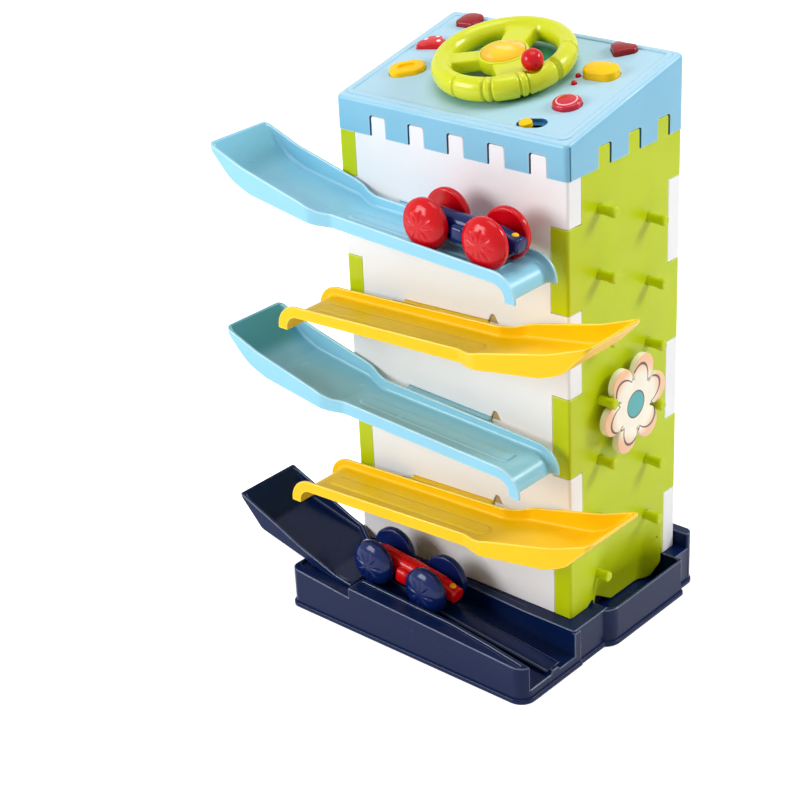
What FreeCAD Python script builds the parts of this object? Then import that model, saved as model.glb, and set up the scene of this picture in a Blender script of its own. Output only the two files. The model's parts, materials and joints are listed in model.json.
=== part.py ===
"""Toy car ramp: a snap-together tower with five zigzag ramps, two cars and a sound console.

Millimetres. The origin is on the floor, under the middle of the tower.
+X is to the right of someone facing the ramps, +Y runs to the back, +Z is up.
"""
import math
import os

from FreeCAD import Placement, Rotation, Vector
import Part

os.makedirs("parts", exist_ok=True)

# Tower
tower_w = 230.0
tower_d = 150.0
wall = 2.5
finger_w = 17.0
finger_gap = 0.15
ledge_z = 35.5
lid_z = 417.0
finger_pitch = 71.0
top_finger_h = 38.0
corner_r = 2.5
merlon_w = 15.0
merlon_h = 16.5
merlon_gap = 0.8
merlon_pitch_front = 40.0
merlon_pitch_side = 39.0
merlon_shift_front = 8.0
merlon_shift_side = 10.0
left_face = -tower_w / 2
right_face = tower_w / 2
front_face = -tower_d / 2
back_face = tower_d / 2

# Base tray
base_wall = 2.5
base_rim = 13.0
base_rear = 11.0
base_front_y = front_face - 82.0
base_right_x = right_face + 14.0
flange_out = 2.0
flange_h = 4.5
rear_corner_r = 9.0
front_corner_r = 8.0
exit_corner_r = 12.0
tray_corner_r = 15.0
trough_back_y = front_face - 5.0
trough_exit_z = 11.4
trough_slope = 0.12
trough_join_x = left_face + 47.0
trough_ridge_h = 3.0
trough_ridge_y = front_face - 39.5
landing_knee_x = left_face + 21.0
landing_foot_x = left_face - 57.0
landing_back_y = front_face - base_rim - 0.4
front_wall_top_left = 38.0
front_wall_step_x = trough_join_x + 8.0
front_wall_step_z = 31.5
front_wall_top_step = 41.2
front_wall_top_right = 33.2
rear_wall_z = 50.0
rear_wall_t = 10.0
rib_x = 60.0
rib_t = 2.5
ring_h = 10.0
ring_gap = 0.3

# Scoop at the foot of the peg wall
scoop_top_z = 98.0
scoop_in = 13.6
scoop_front_y = front_face + 30.0
scoop_back_y = back_face - 20.0
scoop_front_blend = 22.0
scoop_back_blend = 16.0
scoop_stations = 15

# Side tray
tray_in_x = right_face - 19.0
tray_x = right_face + 19.5
tray_front_y = scoop_front_y - 5.0
tray_back_y = scoop_back_y + 5.0
tray_z = 35.0
tray_floor_z = 12.0
scoop_low_z = tray_floor_z + 1.0

# Pegs
peg_r = 4.0
peg_head_r = 4.5
peg_reach = 16.0
peg_gap = 0.08
peg_pitch = 54.0
peg_front_y = front_face + 40.5
peg_back_y = back_face - 43.0
peg_front_top_z = 384.0
peg_back_top_z = 356.0

# Ramps
ramp_pitch = 82.0
ramp_slope = 0.047
ramp_wall = 2.5
basin_y = (front_face - 70.0, front_face - 2.0)
channel_y = (front_face - 63.0, front_face - 10.0)
ramp_knee_x = left_face + 33.0
ramp_end_x = left_face - 82.0
lip_x = right_face - 24.0
lip_r = 22.0
lip_drop = 23.5
lip_wall_end = 5.0
basin_wall_angle = 47.0
basin_foot_r = 40.0
lip_top_z = 363.0
channel_wall_h = 10.0
mirror_shift = -12.5
yellow_extra = 13.0
hook_x = (-51.5, 36.0)
hook_top_z = 365.2
hook_t = 3.0
hook_lip_h = 14.0
hook_rib_t = 2.5
slot_gap = 0.4
slot_h = 9.0
slot_over = 0.2
notch_x = (35.0, 46.0)
notch_h = 6.5
notch_depth = 1.4
seat_gap = 0.3

# Cars
wheel_r = 21.0
wheel_base = 58.0
wheel_in = 10.0
wheel_out = 22.0
axle_r = 1.5
axle_fit = 0.05
pod_x = 7.2
pod_y = 13.0
car_a_x = lip_x - 44.0
car_a_y = front_face - 38.0
car_b_x = left_face + 87.0
car_b_y = trough_ridge_y

# Console
lid_over = 1.0
lid_front_z = 446.0
lid_back_z = 480.0
lid_wall = 2.5
lid_r = 5.0
floor_plate_z = 419.2
floor_plate_t = 2.5
board_h = -14.0
board_t = 1.6
speaker_place = (-52.0, -35.0)
cover_x = (-34.0, 46.0)
cover_z = (436.7, 470.6)
cover_gap = 0.3
button_gap = 0.3
button_travel = 1.5
flange_t = 1.5
shaft_r = 6.0
shaft_fit = 0.07
wheel_major_r = 50.4
wheel_rim_w = 16.0
wheel_rim_low = 3.0
wheel_rim_high = 22.2
hub_r = 20.5
hub_top = 19.0
hub_low = 6.6
horn_r = 17.6
horn_travel = 1.5
knob_r = 8.8
knob_place = (44.0, -20.0, 26.0)

# Tumbler
petal_r = 13.5
petal_inset = 7.1
tumbler_off = 5.5
tumbler_t = 6.0

# Back door
door_w = 112.0
door_low_z = 62.5
door_high_z = 139.5
door_gap = 0.5
door_axis = (back_face - 4.0, 67.0)
door_pin_r = 1.5
sill_z = door_low_z - 1.7
sill_bevel = 4.0


def box(x0, x1, y0, y1, z0, z1):
    return Part.makeBox(x1 - x0, y1 - y0, z1 - z0, Vector(x0, y0, z0))


def cylinder(radius, start, end):
    start = Vector(*start)
    along = Vector(*end) - start
    return Part.makeCylinder(radius, along.Length, start, along)


def corner_edges(points, to_space):
    """Closed outline of straight runs, with an arc at each corner that has a radius."""
    corners = []
    count = len(points)
    for i, point in enumerate(points):
        here = Vector(point[0], point[1], 0)
        radius = point[2] if len(point) > 2 else 0
        if radius == 0:
            corners.append((here, here, here))
            continue
        before = Vector(points[i - 1][0], points[i - 1][1], 0) - here
        after = Vector(points[(i + 1) % count][0], points[(i + 1) % count][1], 0) - here
        before.normalize()
        after.normalize()
        half = before.getAngle(after) / 2
        reach = radius / math.tan(half)
        middle = (before + after).normalize()
        centre = here + middle * (radius / math.sin(half))
        corners.append((here + before * reach, centre - middle * radius, here + after * reach))
    edges = []
    for i, (start, middle, end) in enumerate(corners):
        if start != end:
            edges.append(Part.Arc(to_space(start), to_space(middle), to_space(end)).toShape())
        following = corners[(i + 1) % count][0]
        if (following - end).Length > 1e-6:
            edges.append(Part.LineSegment(to_space(end), to_space(following)).toShape())
    return edges


def prism(points, plane, low, high):
    """Solid between low and high whose outline lies in plane xy, xz or yz."""
    spaces = {
        "xy": (lambda p: Vector(p.x, p.y, low), Vector(0, 0, high - low)),
        "xz": (lambda p: Vector(p.x, low, p.y), Vector(0, high - low, 0)),
        "yz": (lambda p: Vector(low, p.x, p.y), Vector(high - low, 0, 0)),
    }
    to_space, along = spaces[plane]
    wire = Part.Wire(corner_edges(points, to_space))
    return Part.Face(wire).extrude(along)


def union(shapes):
    result = shapes[0].fuse(shapes[1:]) if len(shapes) > 1 else shapes[0]
    return result.removeSplitter()


def cut(shape, tools):
    return shape.cut(Part.makeCompound(tools)) if tools else shape


def group(shapes):
    return Part.makeCompound(shapes)


def turned(shape, angle, axis=(0, 0, 1), centre=(0, 0, 0)):
    moved = shape.copy()
    moved.rotate(Vector(*centre), Vector(*axis), angle)
    return moved


def shifted(shape, x=0, y=0, z=0):
    moved = shape.copy()
    moved.translate(Vector(x, y, z))
    return moved


def save(name, shape):
    solids = shape.Solids
    whole = solids[0] if len(solids) == 1 else Part.makeCompound(solids)
    whole.exportStep("parts/" + name + ".step")


# Levels of the corner fingers, from the lid down to the ledge
finger_levels = [lid_z] + [lid_z - top_finger_h - finger_pitch * i for i in range(5)] + [ledge_z]


def merlon_centres(pitch, shift, count):
    return [shift + pitch * (i - count // 2) for i in range(count)]


def wall_panel(width, depth, centres):
    """One wall seen from outside, facing -Y: fingers at both ends and merlons on top."""
    face = -depth / 2
    half = width / 2
    inner = half - finger_w
    pieces = [box(-inner, inner, face, face + wall, ledge_z, lid_z)]
    leg = [
        (inner - 1, face),
        (half, face, corner_r),
        (half, face + finger_w - finger_gap),
        (half - wall, face + finger_w - finger_gap),
        (half - wall, face + wall),
        (inner - 1, face + wall),
    ]
    for row in range(6):
        high = finger_levels[row] - (finger_gap if row > 0 else 0)
        low = finger_levels[row + 1] + (finger_gap if row < 5 else 0)
        finger = prism(leg, "xy", low, high)
        if row % 2 == 1:
            finger = finger.mirror(Vector(0, 0, 0), Vector(1, 0, 0))
        pieces.append(finger)
    for centre in centres:
        half_w = merlon_w / 2
        top = lid_z + merlon_h
        pieces.append(prism([
            (centre - half_w, lid_z - 1),
            (centre + half_w, lid_z - 1),
            (centre + half_w, top, 2),
            (centre - half_w, top, 2),
        ], "xz", face, face + wall))
    trims = []
    for row in range(6):
        side = -1 if row % 2 == 0 else 1
        x_in, x_out = sorted((side * inner, side * (half + 1)))
        low = finger_levels[row + 1] - (finger_gap if row < 5 else 1)
        high = finger_levels[row] + (finger_gap if row > 0 else 0)
        trims.append(box(x_in, x_out, face - 1, face + finger_w, low, high))
    return cut(union(pieces), trims)


def eased(value, start, end):
    """0 before start, 1 past end, a smooth S between them."""
    share = min(max((value - start) / (end - start), 0.0), 1.0)
    return (1 - math.cos(math.pi * share)) / 2


def scoop_depth(y, z):
    """How far the scoop's outer surface lies behind the wall's outer face."""
    down = eased(-z, -scoop_top_z, -scoop_low_z)
    front = eased(y, scoop_front_y, scoop_front_y + scoop_front_blend)
    back = eased(-y, -scoop_back_y, scoop_back_blend - scoop_back_y)
    return scoop_in * down * front * back


def peg_places():
    front = [(peg_front_y, peg_front_top_z - peg_pitch * i) for i in range(7)]
    back = [(peg_back_y, peg_back_top_z - peg_pitch * i) for i in range(6)]
    return front + back


def wall_peg(y, z):
    """A peg pushed through the wall from inside until its flange stops it."""
    flange_r = 6.0
    depth = scoop_depth(y + flange_r, z - flange_r)
    inner = tower_w / 2 - wall - depth - seat_gap
    tip = tower_w / 2 - depth + peg_reach
    flange = cylinder(flange_r, (inner - 1.5, y, z), (inner, y, z))
    shank = cylinder(peg_r, (inner - 1, y, z), (tip - 3, y, z))
    head = Part.makeCylinder(peg_head_r, 5, Vector(tip - 5, y, z), Vector(1, 0, 0))
    head = head.makeFillet(1.8, [edge for edge in head.Edges if edge.BoundBox.XMin > tip - 0.1])
    return union([flange, shank, head])


def scoop_sheet():
    """The wall's curved foot: it eases inward as it runs down into the side tray."""
    face = tower_w / 2
    last = scoop_stations - 1
    grid = []
    for i in range(scoop_stations):
        y = scoop_front_y + (scoop_back_y - scoop_front_y) * i / last
        heights = [scoop_top_z + (scoop_low_z - scoop_top_z) * k / last for k in range(scoop_stations)]
        grid.append([Vector(face - scoop_depth(y, z), y, z) for z in heights])
    knots = list(range(scoop_stations - 2))
    mults = [4] + [1] * (scoop_stations - 4) + [4]
    surface = Part.BSplineSurface()
    surface.buildFromPolesMultsKnots(grid, mults, mults, knots, knots, False, False, 3, 3)
    sheet = surface.toShape().extrude(Vector(-wall, 0, 0))
    outline = prism([
        (scoop_front_y, scoop_top_z),
        (scoop_front_y, ledge_z + 4.5),
        (tray_front_y + 8.2, ledge_z + 0.5),
        (tray_front_y + 12, scoop_low_z + 16.5, 3),
        (scoop_front_y + 21, scoop_low_z + 15.5, 10),
        (scoop_front_y + 45, scoop_low_z, 8),
        (scoop_back_y - 8, scoop_low_z, 8),
        (scoop_back_y, scoop_low_z + 15, 6),
        (scoop_back_y, scoop_top_z),
    ], "yz", face - 30, face + 10)
    return sheet.common(outline)


def make_right_panel():
    panel = turned(wall_panel(tower_d, tower_w, merlon_centres(merlon_pitch_side, merlon_shift_side, 3)), 90)
    face = tower_w / 2
    opening = prism([
        (scoop_front_y, scoop_top_z),
        (scoop_front_y, ledge_z + 4.5),
        (scoop_front_y - 9, ledge_z - 1),
        (scoop_back_y + 1.5, ledge_z - 1),
        (scoop_back_y, ledge_z + 16.5),
        (scoop_back_y, scoop_top_z),
    ], "yz", face - 30, face + 10)
    panel = union([panel.cut(opening), scoop_sheet()])
    holes = []
    for y, z in peg_places():
        holes.append(cylinder(peg_r + peg_gap, (face - 30, y, z), (face + 5, y, z)))
    return cut(panel, holes)


def make_pegs():
    return group([wall_peg(y, z) for y, z in peg_places()])


def hook_z(number, x):
    """Height of the top of a ramp's hook, which slopes with its ramp."""
    fall = ramp_slope if number % 2 == 1 else -ramp_slope
    middle = (hook_x[0] + hook_x[1]) / 2
    return hook_top_z - ramp_pitch * number + fall * (x - middle)


def hook_band(number, x_range, y_range, low, high):
    """Block that follows a hook's slope, between two heights told from the hook's top."""
    x0, x1 = x_range
    z0, z1 = hook_z(number, x0), hook_z(number, x1)
    return prism([(x0, z0 + low), (x1, z1 + low), (x1, z1 + high), (x0, z0 + high)], "xz", *y_range)


def make_front_panel():
    """White wall with a slot for each ramp's hook and a shallow notch past the slot's right end."""
    panel = wall_panel(tower_w, tower_d, merlon_centres(merlon_pitch_front, merlon_shift_front, 5))
    slot_x = (hook_x[0] - slot_gap, hook_x[1] + slot_gap)
    through = (front_face - 1, front_face + wall + 1)
    slots = []
    for number in range(4):
        slots.append(hook_band(number, slot_x, through, slot_over - slot_h, slot_over))
        foot = hook_z(number, notch_x[0])
        peak_x = (notch_x[0] + notch_x[1]) / 2
        slots.append(prism([
            (notch_x[0], foot - 1),
            (notch_x[1], foot - 1),
            (peak_x + 1, foot + notch_h, 1),
            (peak_x - 2, foot + notch_h, 1),
        ], "xz", front_face - 1, front_face + notch_depth))
    return cut(panel, slots)


def star_outline(x, z, tip, notch):
    points = []
    for i in range(10):
        radius = tip if i % 2 == 0 else notch
        angle = math.radians(90 + 36 * i)
        points.append((x + radius * math.cos(angle), z + radius * math.sin(angle), 3))
    return points


def make_back_panel():
    panel = turned(wall_panel(tower_w, tower_d, merlon_centres(merlon_pitch_front, merlon_shift_front, 5)), 180)
    low, high = tower_d / 2 - 10, tower_d / 2 + 5
    upper, lower, side = 335.0, 245.0, 50.0
    cuts = [
        cylinder(27, (side, low, upper), (side, high, upper)),
        prism([(-side - 25, upper - 25, 4), (-side + 25, upper - 25, 4),
               (-side + 25, upper + 25, 4), (-side - 25, upper + 25, 4)], "xz", low, high),
        prism([(side - 30, lower - 22, 5), (side + 30, lower - 22, 5), (side, lower + 30, 5)], "xz", low, high),
        prism(star_outline(-side, lower, 32, 18), "xz", low, high),
        box(-door_w / 2, door_w / 2, low, high, sill_z, door_high_z + door_gap),
        prism([(back_face - wall - 1, sill_z), (back_face + 1, sill_z), (back_face + 1, sill_z - sill_bevel)],
              "yz", -door_w / 2, door_w / 2),
    ]
    panel = cut(panel, cuts)
    ears = []
    bores = []
    axis_y, axis_z = door_axis
    for side_sign in (-1, 1):
        x_in, x_out = sorted((side_sign * (door_w / 2 + 0.4), side_sign * (door_w / 2 + 6)))
        ears.append(box(x_in, x_out, axis_y - 4, tower_d / 2 - wall + 0.5, axis_z - 6, axis_z + 6))
        bores.append(cylinder(door_pin_r + 0.02, (x_in - 1, axis_y, axis_z), (x_out + 1, axis_y, axis_z)))
    return cut(union([panel] + ears), bores)


def make_back_door():
    axis_y, axis_z = door_axis
    half = door_w / 2 - door_gap
    plate = prism([
        (-half, door_low_z, 1), (half, door_low_z, 1), (half, door_high_z, 4), (-half, door_high_z, 4),
    ], "xz", tower_d / 2 - wall + 0.1, tower_d / 2)
    pieces = [plate]
    for side_sign in (-1, 1):
        x_in, x_out = sorted((side_sign * (half - 7), side_sign * half))
        pieces.append(prism([
            (axis_y - 3.2, axis_z - 3.2, 3), (tower_d / 2 - wall + 0.5, axis_z - 3.2),
            (tower_d / 2 - wall + 0.5, axis_z + 3.2), (axis_y - 3.2, axis_z + 3.2, 3),
        ], "yz", x_in, x_out))
    pieces.append(box(-14, 14, back_face - wall - 2, back_face - wall + 0.5, door_high_z - 13, door_high_z - 8))
    cuts = [cylinder(9, (0, back_face - 15, door_high_z), (0, back_face + 15, door_high_z))]
    for side_sign in (-1, 1):
        ends = sorted((side_sign * (half - 5), side_sign * (half + 1)))
        cuts.append(cylinder(door_pin_r + 0.06, (ends[0], axis_y, axis_z), (ends[1], axis_y, axis_z)))
    return cut(union(pieces), cuts)


def make_door_pins():
    axis_y, axis_z = door_axis
    pins = []
    for side_sign in (-1, 1):
        ends = sorted((side_sign * (door_w / 2 - door_gap - 4.7), side_sign * (door_w / 2 + 6)))
        pins.append(cylinder(door_pin_r, (ends[0], axis_y, axis_z), (ends[1], axis_y, axis_z)))
    return group(pins)


def make_left_panel():
    panel = turned(wall_panel(tower_d, tower_w, merlon_centres(merlon_pitch_side, merlon_shift_side, 3)), 270)
    face = -tower_w / 2
    front, back = front_face + 29, back_face - 29
    outer = prism([(front, 75, 8), (back, 75, 8), (back, 385, 8), (front, 385, 8)], "yz", face - 1, face + 0.5)
    front, back = front + 5, back - 5
    inner = prism([(front, 80, 5), (back, 80, 5), (back, 380, 5), (front, 380, 5)], "yz", face - 2, face + 1)
    return union([panel, outer.cut(inner)])


# Base tray


def trough_z(x):
    return trough_exit_z + trough_slope * (base_right_x - x)


def trough_floor(shift, x_end):
    """Floor line of the trough from its exit back to the left wall, moved down by shift."""
    join = trough_join_x
    landing = landing_floor()
    seat = ramp_wall + 0.2
    return [
        (x_end, trough_z(x_end) - shift),
        (join, trough_z(join) - shift),
        (join, landing[0][1] - seat - shift),
        (landing[1][0], landing[1][1] - seat - shift),
        (left_face - base_rim + base_wall, landing[1][1] - seat + 0.8 - shift),
    ]


def landing_floor():
    """Top of the landing ramp's floor: its end on the trough, its knee, and the foot of its end wall."""
    join_z = trough_z(trough_join_x) + 0.5
    knee_z = join_z + 0.088 * (trough_join_x - landing_knee_x)
    foot_z = knee_z + 0.245 * (landing_knee_x - landing_foot_x)
    return [(trough_join_x, join_z), (landing_knee_x, knee_z), (landing_foot_x, foot_z)]


base_left = left_face - base_rim
base_right = right_face + base_rim
base_rear_y = back_face + base_rear
pedestal_y = front_face - base_rim


def base_outline(which, out=0.0):
    """Plan outlines of the three blocks of the base, moved outward by out."""
    left, right, rear = base_left - out, base_right + out, base_rear_y + out
    front = base_front_y - out
    outlines = {
        "trough": [(left, front, front_corner_r + out), (base_right_x + out, front, exit_corner_r + out),
                   (base_right_x + out, trough_back_y), (left, trough_back_y)],
        "pedestal": [(left, pedestal_y - out), (right, pedestal_y - out, 3), (right, rear, rear_corner_r + out),
                     (left, rear, rear_corner_r + out)],
        "tray": [(tray_in_x - 6, tray_front_y - out), (tray_x + out, tray_front_y - out, tray_corner_r + out),
                 (tray_x + out, tray_back_y + out, 3 + out), (tray_in_x - 6, tray_back_y + out)],
    }
    return outlines[which]


def base_flange(which):
    """Rounded foot that runs round the bottom edge of one block."""
    foot = prism(base_outline(which, flange_out), "xy", 0, flange_h)
    top_edges = [edge for edge in foot.Edges if edge.BoundBox.ZMin > flange_h - 0.01]
    return foot.makeFillet(flange_out - 0.1, top_edges)


def base_blocks():
    """The outside of the base before it is hollowed."""
    trough_side = prism([
        (base_left, 0), (base_right_x, 0), (base_right_x, front_wall_top_right),
        (front_wall_step_x, front_wall_top_step), (front_wall_step_x, front_wall_step_z),
        (base_left, front_wall_top_left),
    ], "xz", base_front_y, trough_back_y)
    trough = prism(base_outline("trough"), "xy", 0, 60).common(trough_side)
    pedestal = prism(base_outline("pedestal"), "xy", 0, ledge_z)
    tray = prism(base_outline("tray"), "xy", 0, tray_z)
    wall_front = base_rear_y - rear_wall_t
    rear_wall = prism([(base_left, wall_front, 2), (base_right, wall_front, 2), (base_right, base_rear_y, 7),
                       (base_left, base_rear_y, 7)], "xy", 0, rear_wall_z)
    flange = [base_flange(name) for name in ("trough", "pedestal", "tray")]
    ring_x = right_face - wall - ring_gap
    ring_y = back_face - wall - ring_gap
    top = ledge_z + ring_h
    ring = box(-ring_x, ring_x, -ring_y, ring_y, ledge_z - 1, top)
    ring = ring.cut(box(-ring_x + 2.5, ring_x - 2.5, -ring_y + 2.5, ring_y - 2.5, ledge_z - 1, top))
    ring = ring.cut(box(right_face - 35, right_face + 15, tray_front_y - 8, tray_back_y, ledge_z, top))
    return union([trough, pedestal, tray, rear_wall, ring] + flange)


def trough_cuts():
    """The trough's channel, the groove along its front wall and the side tray's basin."""
    front, right, step = base_front_y, base_right_x, front_wall_step_x
    left = base_left + base_wall
    channel = prism([
        (left, front + 9, 4), (step, front + 9), (step, front + 19.5), (right - 88, front + 19),
        (right - 46, front + 15), (right + 11, front + 7.5), (right + 11, pedestal_y), (left, pedestal_y),
    ], "xy", 0, 80)
    above = prism(trough_floor(0, right + 11) + [(left, 80), (right + 11, 80)], "xz", front - 3, trough_back_y)
    groove = prism([
        (step + 3, front + 16), (right - 88, front + 15.5), (right - 46, front + 11.5), (right - 8, front + 6.5),
        (right - 8, front + 4.5), (right - 46, front + 9.5), (right - 88, front + 13.5), (step + 3, front + 14),
    ], "xy", 0, 80)
    groove_side = prism([
        (step, front_wall_top_step - 1.5), (right, front_wall_top_right - 1.5), (right, 80), (step, 80),
    ], "xz", front - 3, trough_back_y)
    basin = prism([
        (tray_in_x, tray_front_y + 7.5), (tray_x - base_wall, tray_front_y + 7.5, 9),
        (tray_x - base_wall, tray_back_y - base_wall, 3), (tray_in_x, tray_back_y - base_wall),
    ], "xy", tray_floor_z, 80)
    return [channel.common(above), groove.common(groove_side), basin]


def trough_ridge():
    """Low rounded rail that runs down the middle of the trough between a car's wheels."""
    start_z = trough_z(trough_join_x)
    corners = [(-6, -1), (-6, 0), (-3.5, trough_ridge_h), (3.5, trough_ridge_h), (6, 0), (6, -1), (-6, -1)]
    outline = [Vector(trough_join_x, trough_ridge_y + y, start_z + z) for y, z in corners]
    run = base_right_x - trough_join_x
    ridge = Part.Face(Part.makePolygon(outline)).extrude(Vector(run, 0, -trough_slope * run))
    tapered = prism([
        (trough_join_x, start_z - 5), (base_right_x, 0), (base_right_x, 60), (trough_join_x + 28, 60),
        (trough_join_x, start_z + 0.1),
    ], "xz", trough_ridge_y - 10, trough_ridge_y + 15)
    return ridge.common(tapered)


def base_hollow():
    """The space under the base, without its ribs."""
    t = base_wall
    front, right, step = base_front_y, base_right_x, front_wall_step_x
    left, tray_wall = base_left + t, tray_in_x - t
    under_trough = prism([(left, -1), (right - t, -1)] + trough_floor(3.0, right - t), "xz", front + t, pedestal_y - t)
    trough_plan = prism([
        (left, front + t, front_corner_r - t), (right - t, front + t, exit_corner_r - t),
        (right - t, pedestal_y - t), (left, pedestal_y - t),
    ], "xy", -1, 80)
    under_trough = under_trough.common(trough_plan)
    wall_plan = prism([
        (left, front + t, 3), (right - 11, front + t), (right - 11, front + 5.5), (right - 46, front + 10),
        (right - 88, front + 13.5), (step + t, front + 14), (step + t, front + 6.5), (left, front + 6.5),
    ], "xy", -1, 80)
    wall_side = prism([
        (base_left, -1), (right, -1), (right, front_wall_top_right - 4.5), (step + t, front_wall_top_step - 4.5),
        (step + t, front_wall_step_z - t), (base_left, front_wall_top_left - t),
    ], "xz", front, trough_back_y)
    rear = base_rear_y - t
    under_pedestal = prism([
        (left, pedestal_y + t), (base_right - t, pedestal_y + t), (base_right - t, tray_front_y - t),
        (tray_wall, tray_front_y - t), (tray_wall, tray_back_y), (base_right - t, tray_back_y),
        (base_right - t, rear, 6), (left, rear, 6),
    ], "xy", -1, ledge_z - t)
    under_tray = prism([
        (tray_in_x - 6, tray_front_y + t), (tray_x - t, tray_front_y + t, 12), (tray_x - t, tray_back_y - t, 3),
        (tray_in_x - 6, tray_back_y - t),
    ], "xy", -1, tray_floor_z - t)
    tray_corner = box(tray_in_x - 6, tray_x - 8, tray_front_y + t, tray_front_y + 5, -1, tray_floor_z - t)
    under_rear = box(base_left + 6, base_right - 6, base_rear_y - rear_wall_t + t, rear, -1, rear_wall_z - t)
    return union([under_trough, wall_plan.common(wall_side), under_pedestal, under_tray, tray_corner, under_rear])


def base_ribs():
    ribs = [box(base_left + 1, tray_in_x - 2, -rib_t / 2, rib_t / 2, 0, ledge_z - 1)]
    for x, high in ((-rib_x, 20), (0, 20), (rib_x, 12)):
        ribs.append(box(x - rib_t / 2, x + rib_t / 2, base_front_y + 1, base_rear_y - 1, 0, high))
    return union(ribs)


def make_base():
    body = cut(base_blocks(), trough_cuts())
    body = union([body, trough_ridge()])
    return body.cut(base_hollow().cut(base_ribs()))


# Ramps


def plan_outline(wall_in, extra):
    """Plan of a blue ramp: wide basin, two soft steps, narrow channel."""
    y0, y1 = basin_y[0] + wall_in, basin_y[1] - wall_in
    c0, c1 = channel_y[0] + wall_in, channel_y[1] - wall_in
    start = ramp_end_x - 5 if wall_in else ramp_end_x
    corner = 6 - wall_in
    end = lip_x + lip_r + extra + (5 if wall_in else 0)
    wide, narrow = ramp_knee_x - 7, ramp_knee_x + 13
    return [
        (start, y0, corner), (wide, y0, 16), (narrow, c0, 16), (end, c0), (end, c1), (narrow, c1, 16),
        (wide, y1, 16), (start, y1, corner),
    ]


def ramp_profile(rise, extra, inside):
    """Side view of a ramp without its lip: the floor line, then the rim, or the open top for the inside."""
    top = lip_top_z - ramp_slope * extra
    lip = lip_x + extra
    low = top - channel_wall_h
    knee = low + ramp_slope * (lip - ramp_knee_x)
    wall_h = 63.9 if inside else 49.4
    foot_h = 19.9
    foot = ramp_knee_x - 91 + rise * 0.9
    wall_x = foot - (wall_h - foot_h - rise * 0.9) / math.tan(math.radians(basin_wall_angle))
    floor = [
        (lip, low + rise),
        (ramp_knee_x, knee + rise, 40),
        (ramp_knee_x - 70, knee + 11.7 + rise, 14),
        (foot, knee + foot_h + rise * 0.9, basin_foot_r),
        (wall_x, knee + wall_h),
    ]
    if inside:
        end_z = top - lip_drop - lip_wall_end
        floor_r = lip_r - channel_wall_h + rise
        return floor + [(lip + 60, knee + wall_h), (lip + 60, end_z), (lip + floor_r, end_z)]
    rim = [(-78, 33.7, 60), (-15, 17.5, 40), (2, 11.7, 12)]
    return floor + [(ramp_knee_x + x, knee + z, radius) for x, z, radius in rim] + [(lip, top)]


def ramp_solid(rise, extra, inside):
    """The side view, closed round the lip by a quarter circle, as a solid wider than the ramp."""
    low_y, high_y = basin_y[0] - 20, basin_y[1] + 20
    lip = lip_x + extra
    top = lip_top_z - ramp_slope * extra
    centre_z = top - lip_r
    end_z = top - lip_drop
    floor_r = lip_r - channel_wall_h + rise
    eighth = math.sin(math.pi / 4)

    def space(p):
        return Vector(p.x, low_y, p.y)

    def quarter(radius):
        crest = Vector(lip, low_y, centre_z + radius)
        middle = Vector(lip + radius * eighth, low_y, centre_z + radius * eighth)
        side = Vector(lip + radius, low_y, centre_z)
        return Part.Arc(crest, middle, side).toShape()

    def run(corners):
        points = [Vector(x, low_y, z) for x, z in corners]
        return [Part.LineSegment(a, b).toShape() for a, b in zip(points, points[1:])]

    edges = corner_edges(ramp_profile(rise, extra, inside), space)[:-1]
    inner_side = (lip + floor_r, centre_z)
    if inside:
        edges += run([(lip + floor_r, end_z - lip_wall_end), inner_side])
    else:
        outer_side = (lip + lip_r, centre_z)
        edges.append(quarter(lip_r))
        edges += run([outer_side, (lip + lip_r, end_z), (lip + floor_r, end_z), inner_side])
    edges.append(quarter(floor_r))
    face = Part.Face(Part.Wire(Part.__sortEdges__(edges)))
    return face.extrude(Vector(0, high_y - low_y, 0))


def hook(number):
    """Flange that passes through the wall slot, its ribs and the lip that drops behind the wall."""
    back = front_face + wall
    lip_y = (back + ring_gap, back + ring_gap + 2.5)
    whole_y = (channel_y[1] - 0.5, lip_y[1])
    pieces = [
        hook_band(number, hook_x, whole_y, -hook_t, 0),
        hook_band(number, hook_x, lip_y, -hook_lip_h, 0),
    ]
    for x in (hook_x[0], (hook_x[0] + hook_x[1]) / 2, hook_x[1] - hook_rib_t):
        low = slot_over - slot_h + seat_gap
        pieces.append(hook_band(number, (x, x + hook_rib_t), whole_y, low, -hook_t / 2))
    return pieces


def make_ramp(number):
    """Ramp number 0 is the top one. Even ones catch on the left, odd ones on the right."""
    mirrored = number % 2 == 1
    extra = yellow_extra if mirrored else 0.0
    outer = ramp_solid(0, extra, False).common(prism(plan_outline(0, extra), "xy", 300, 450))
    inner = ramp_solid(ramp_wall, extra, True).common(prism(plan_outline(ramp_wall, extra), "xy", 290, 460))
    shape = outer.cut(inner)
    if mirrored:
        shape = shape.mirror(Vector(mirror_shift / 2, 0, 0), Vector(1, 0, 0))
    shape = shifted(shape, z=-ramp_pitch * number)
    return union([shape] + hook(number))


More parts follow.
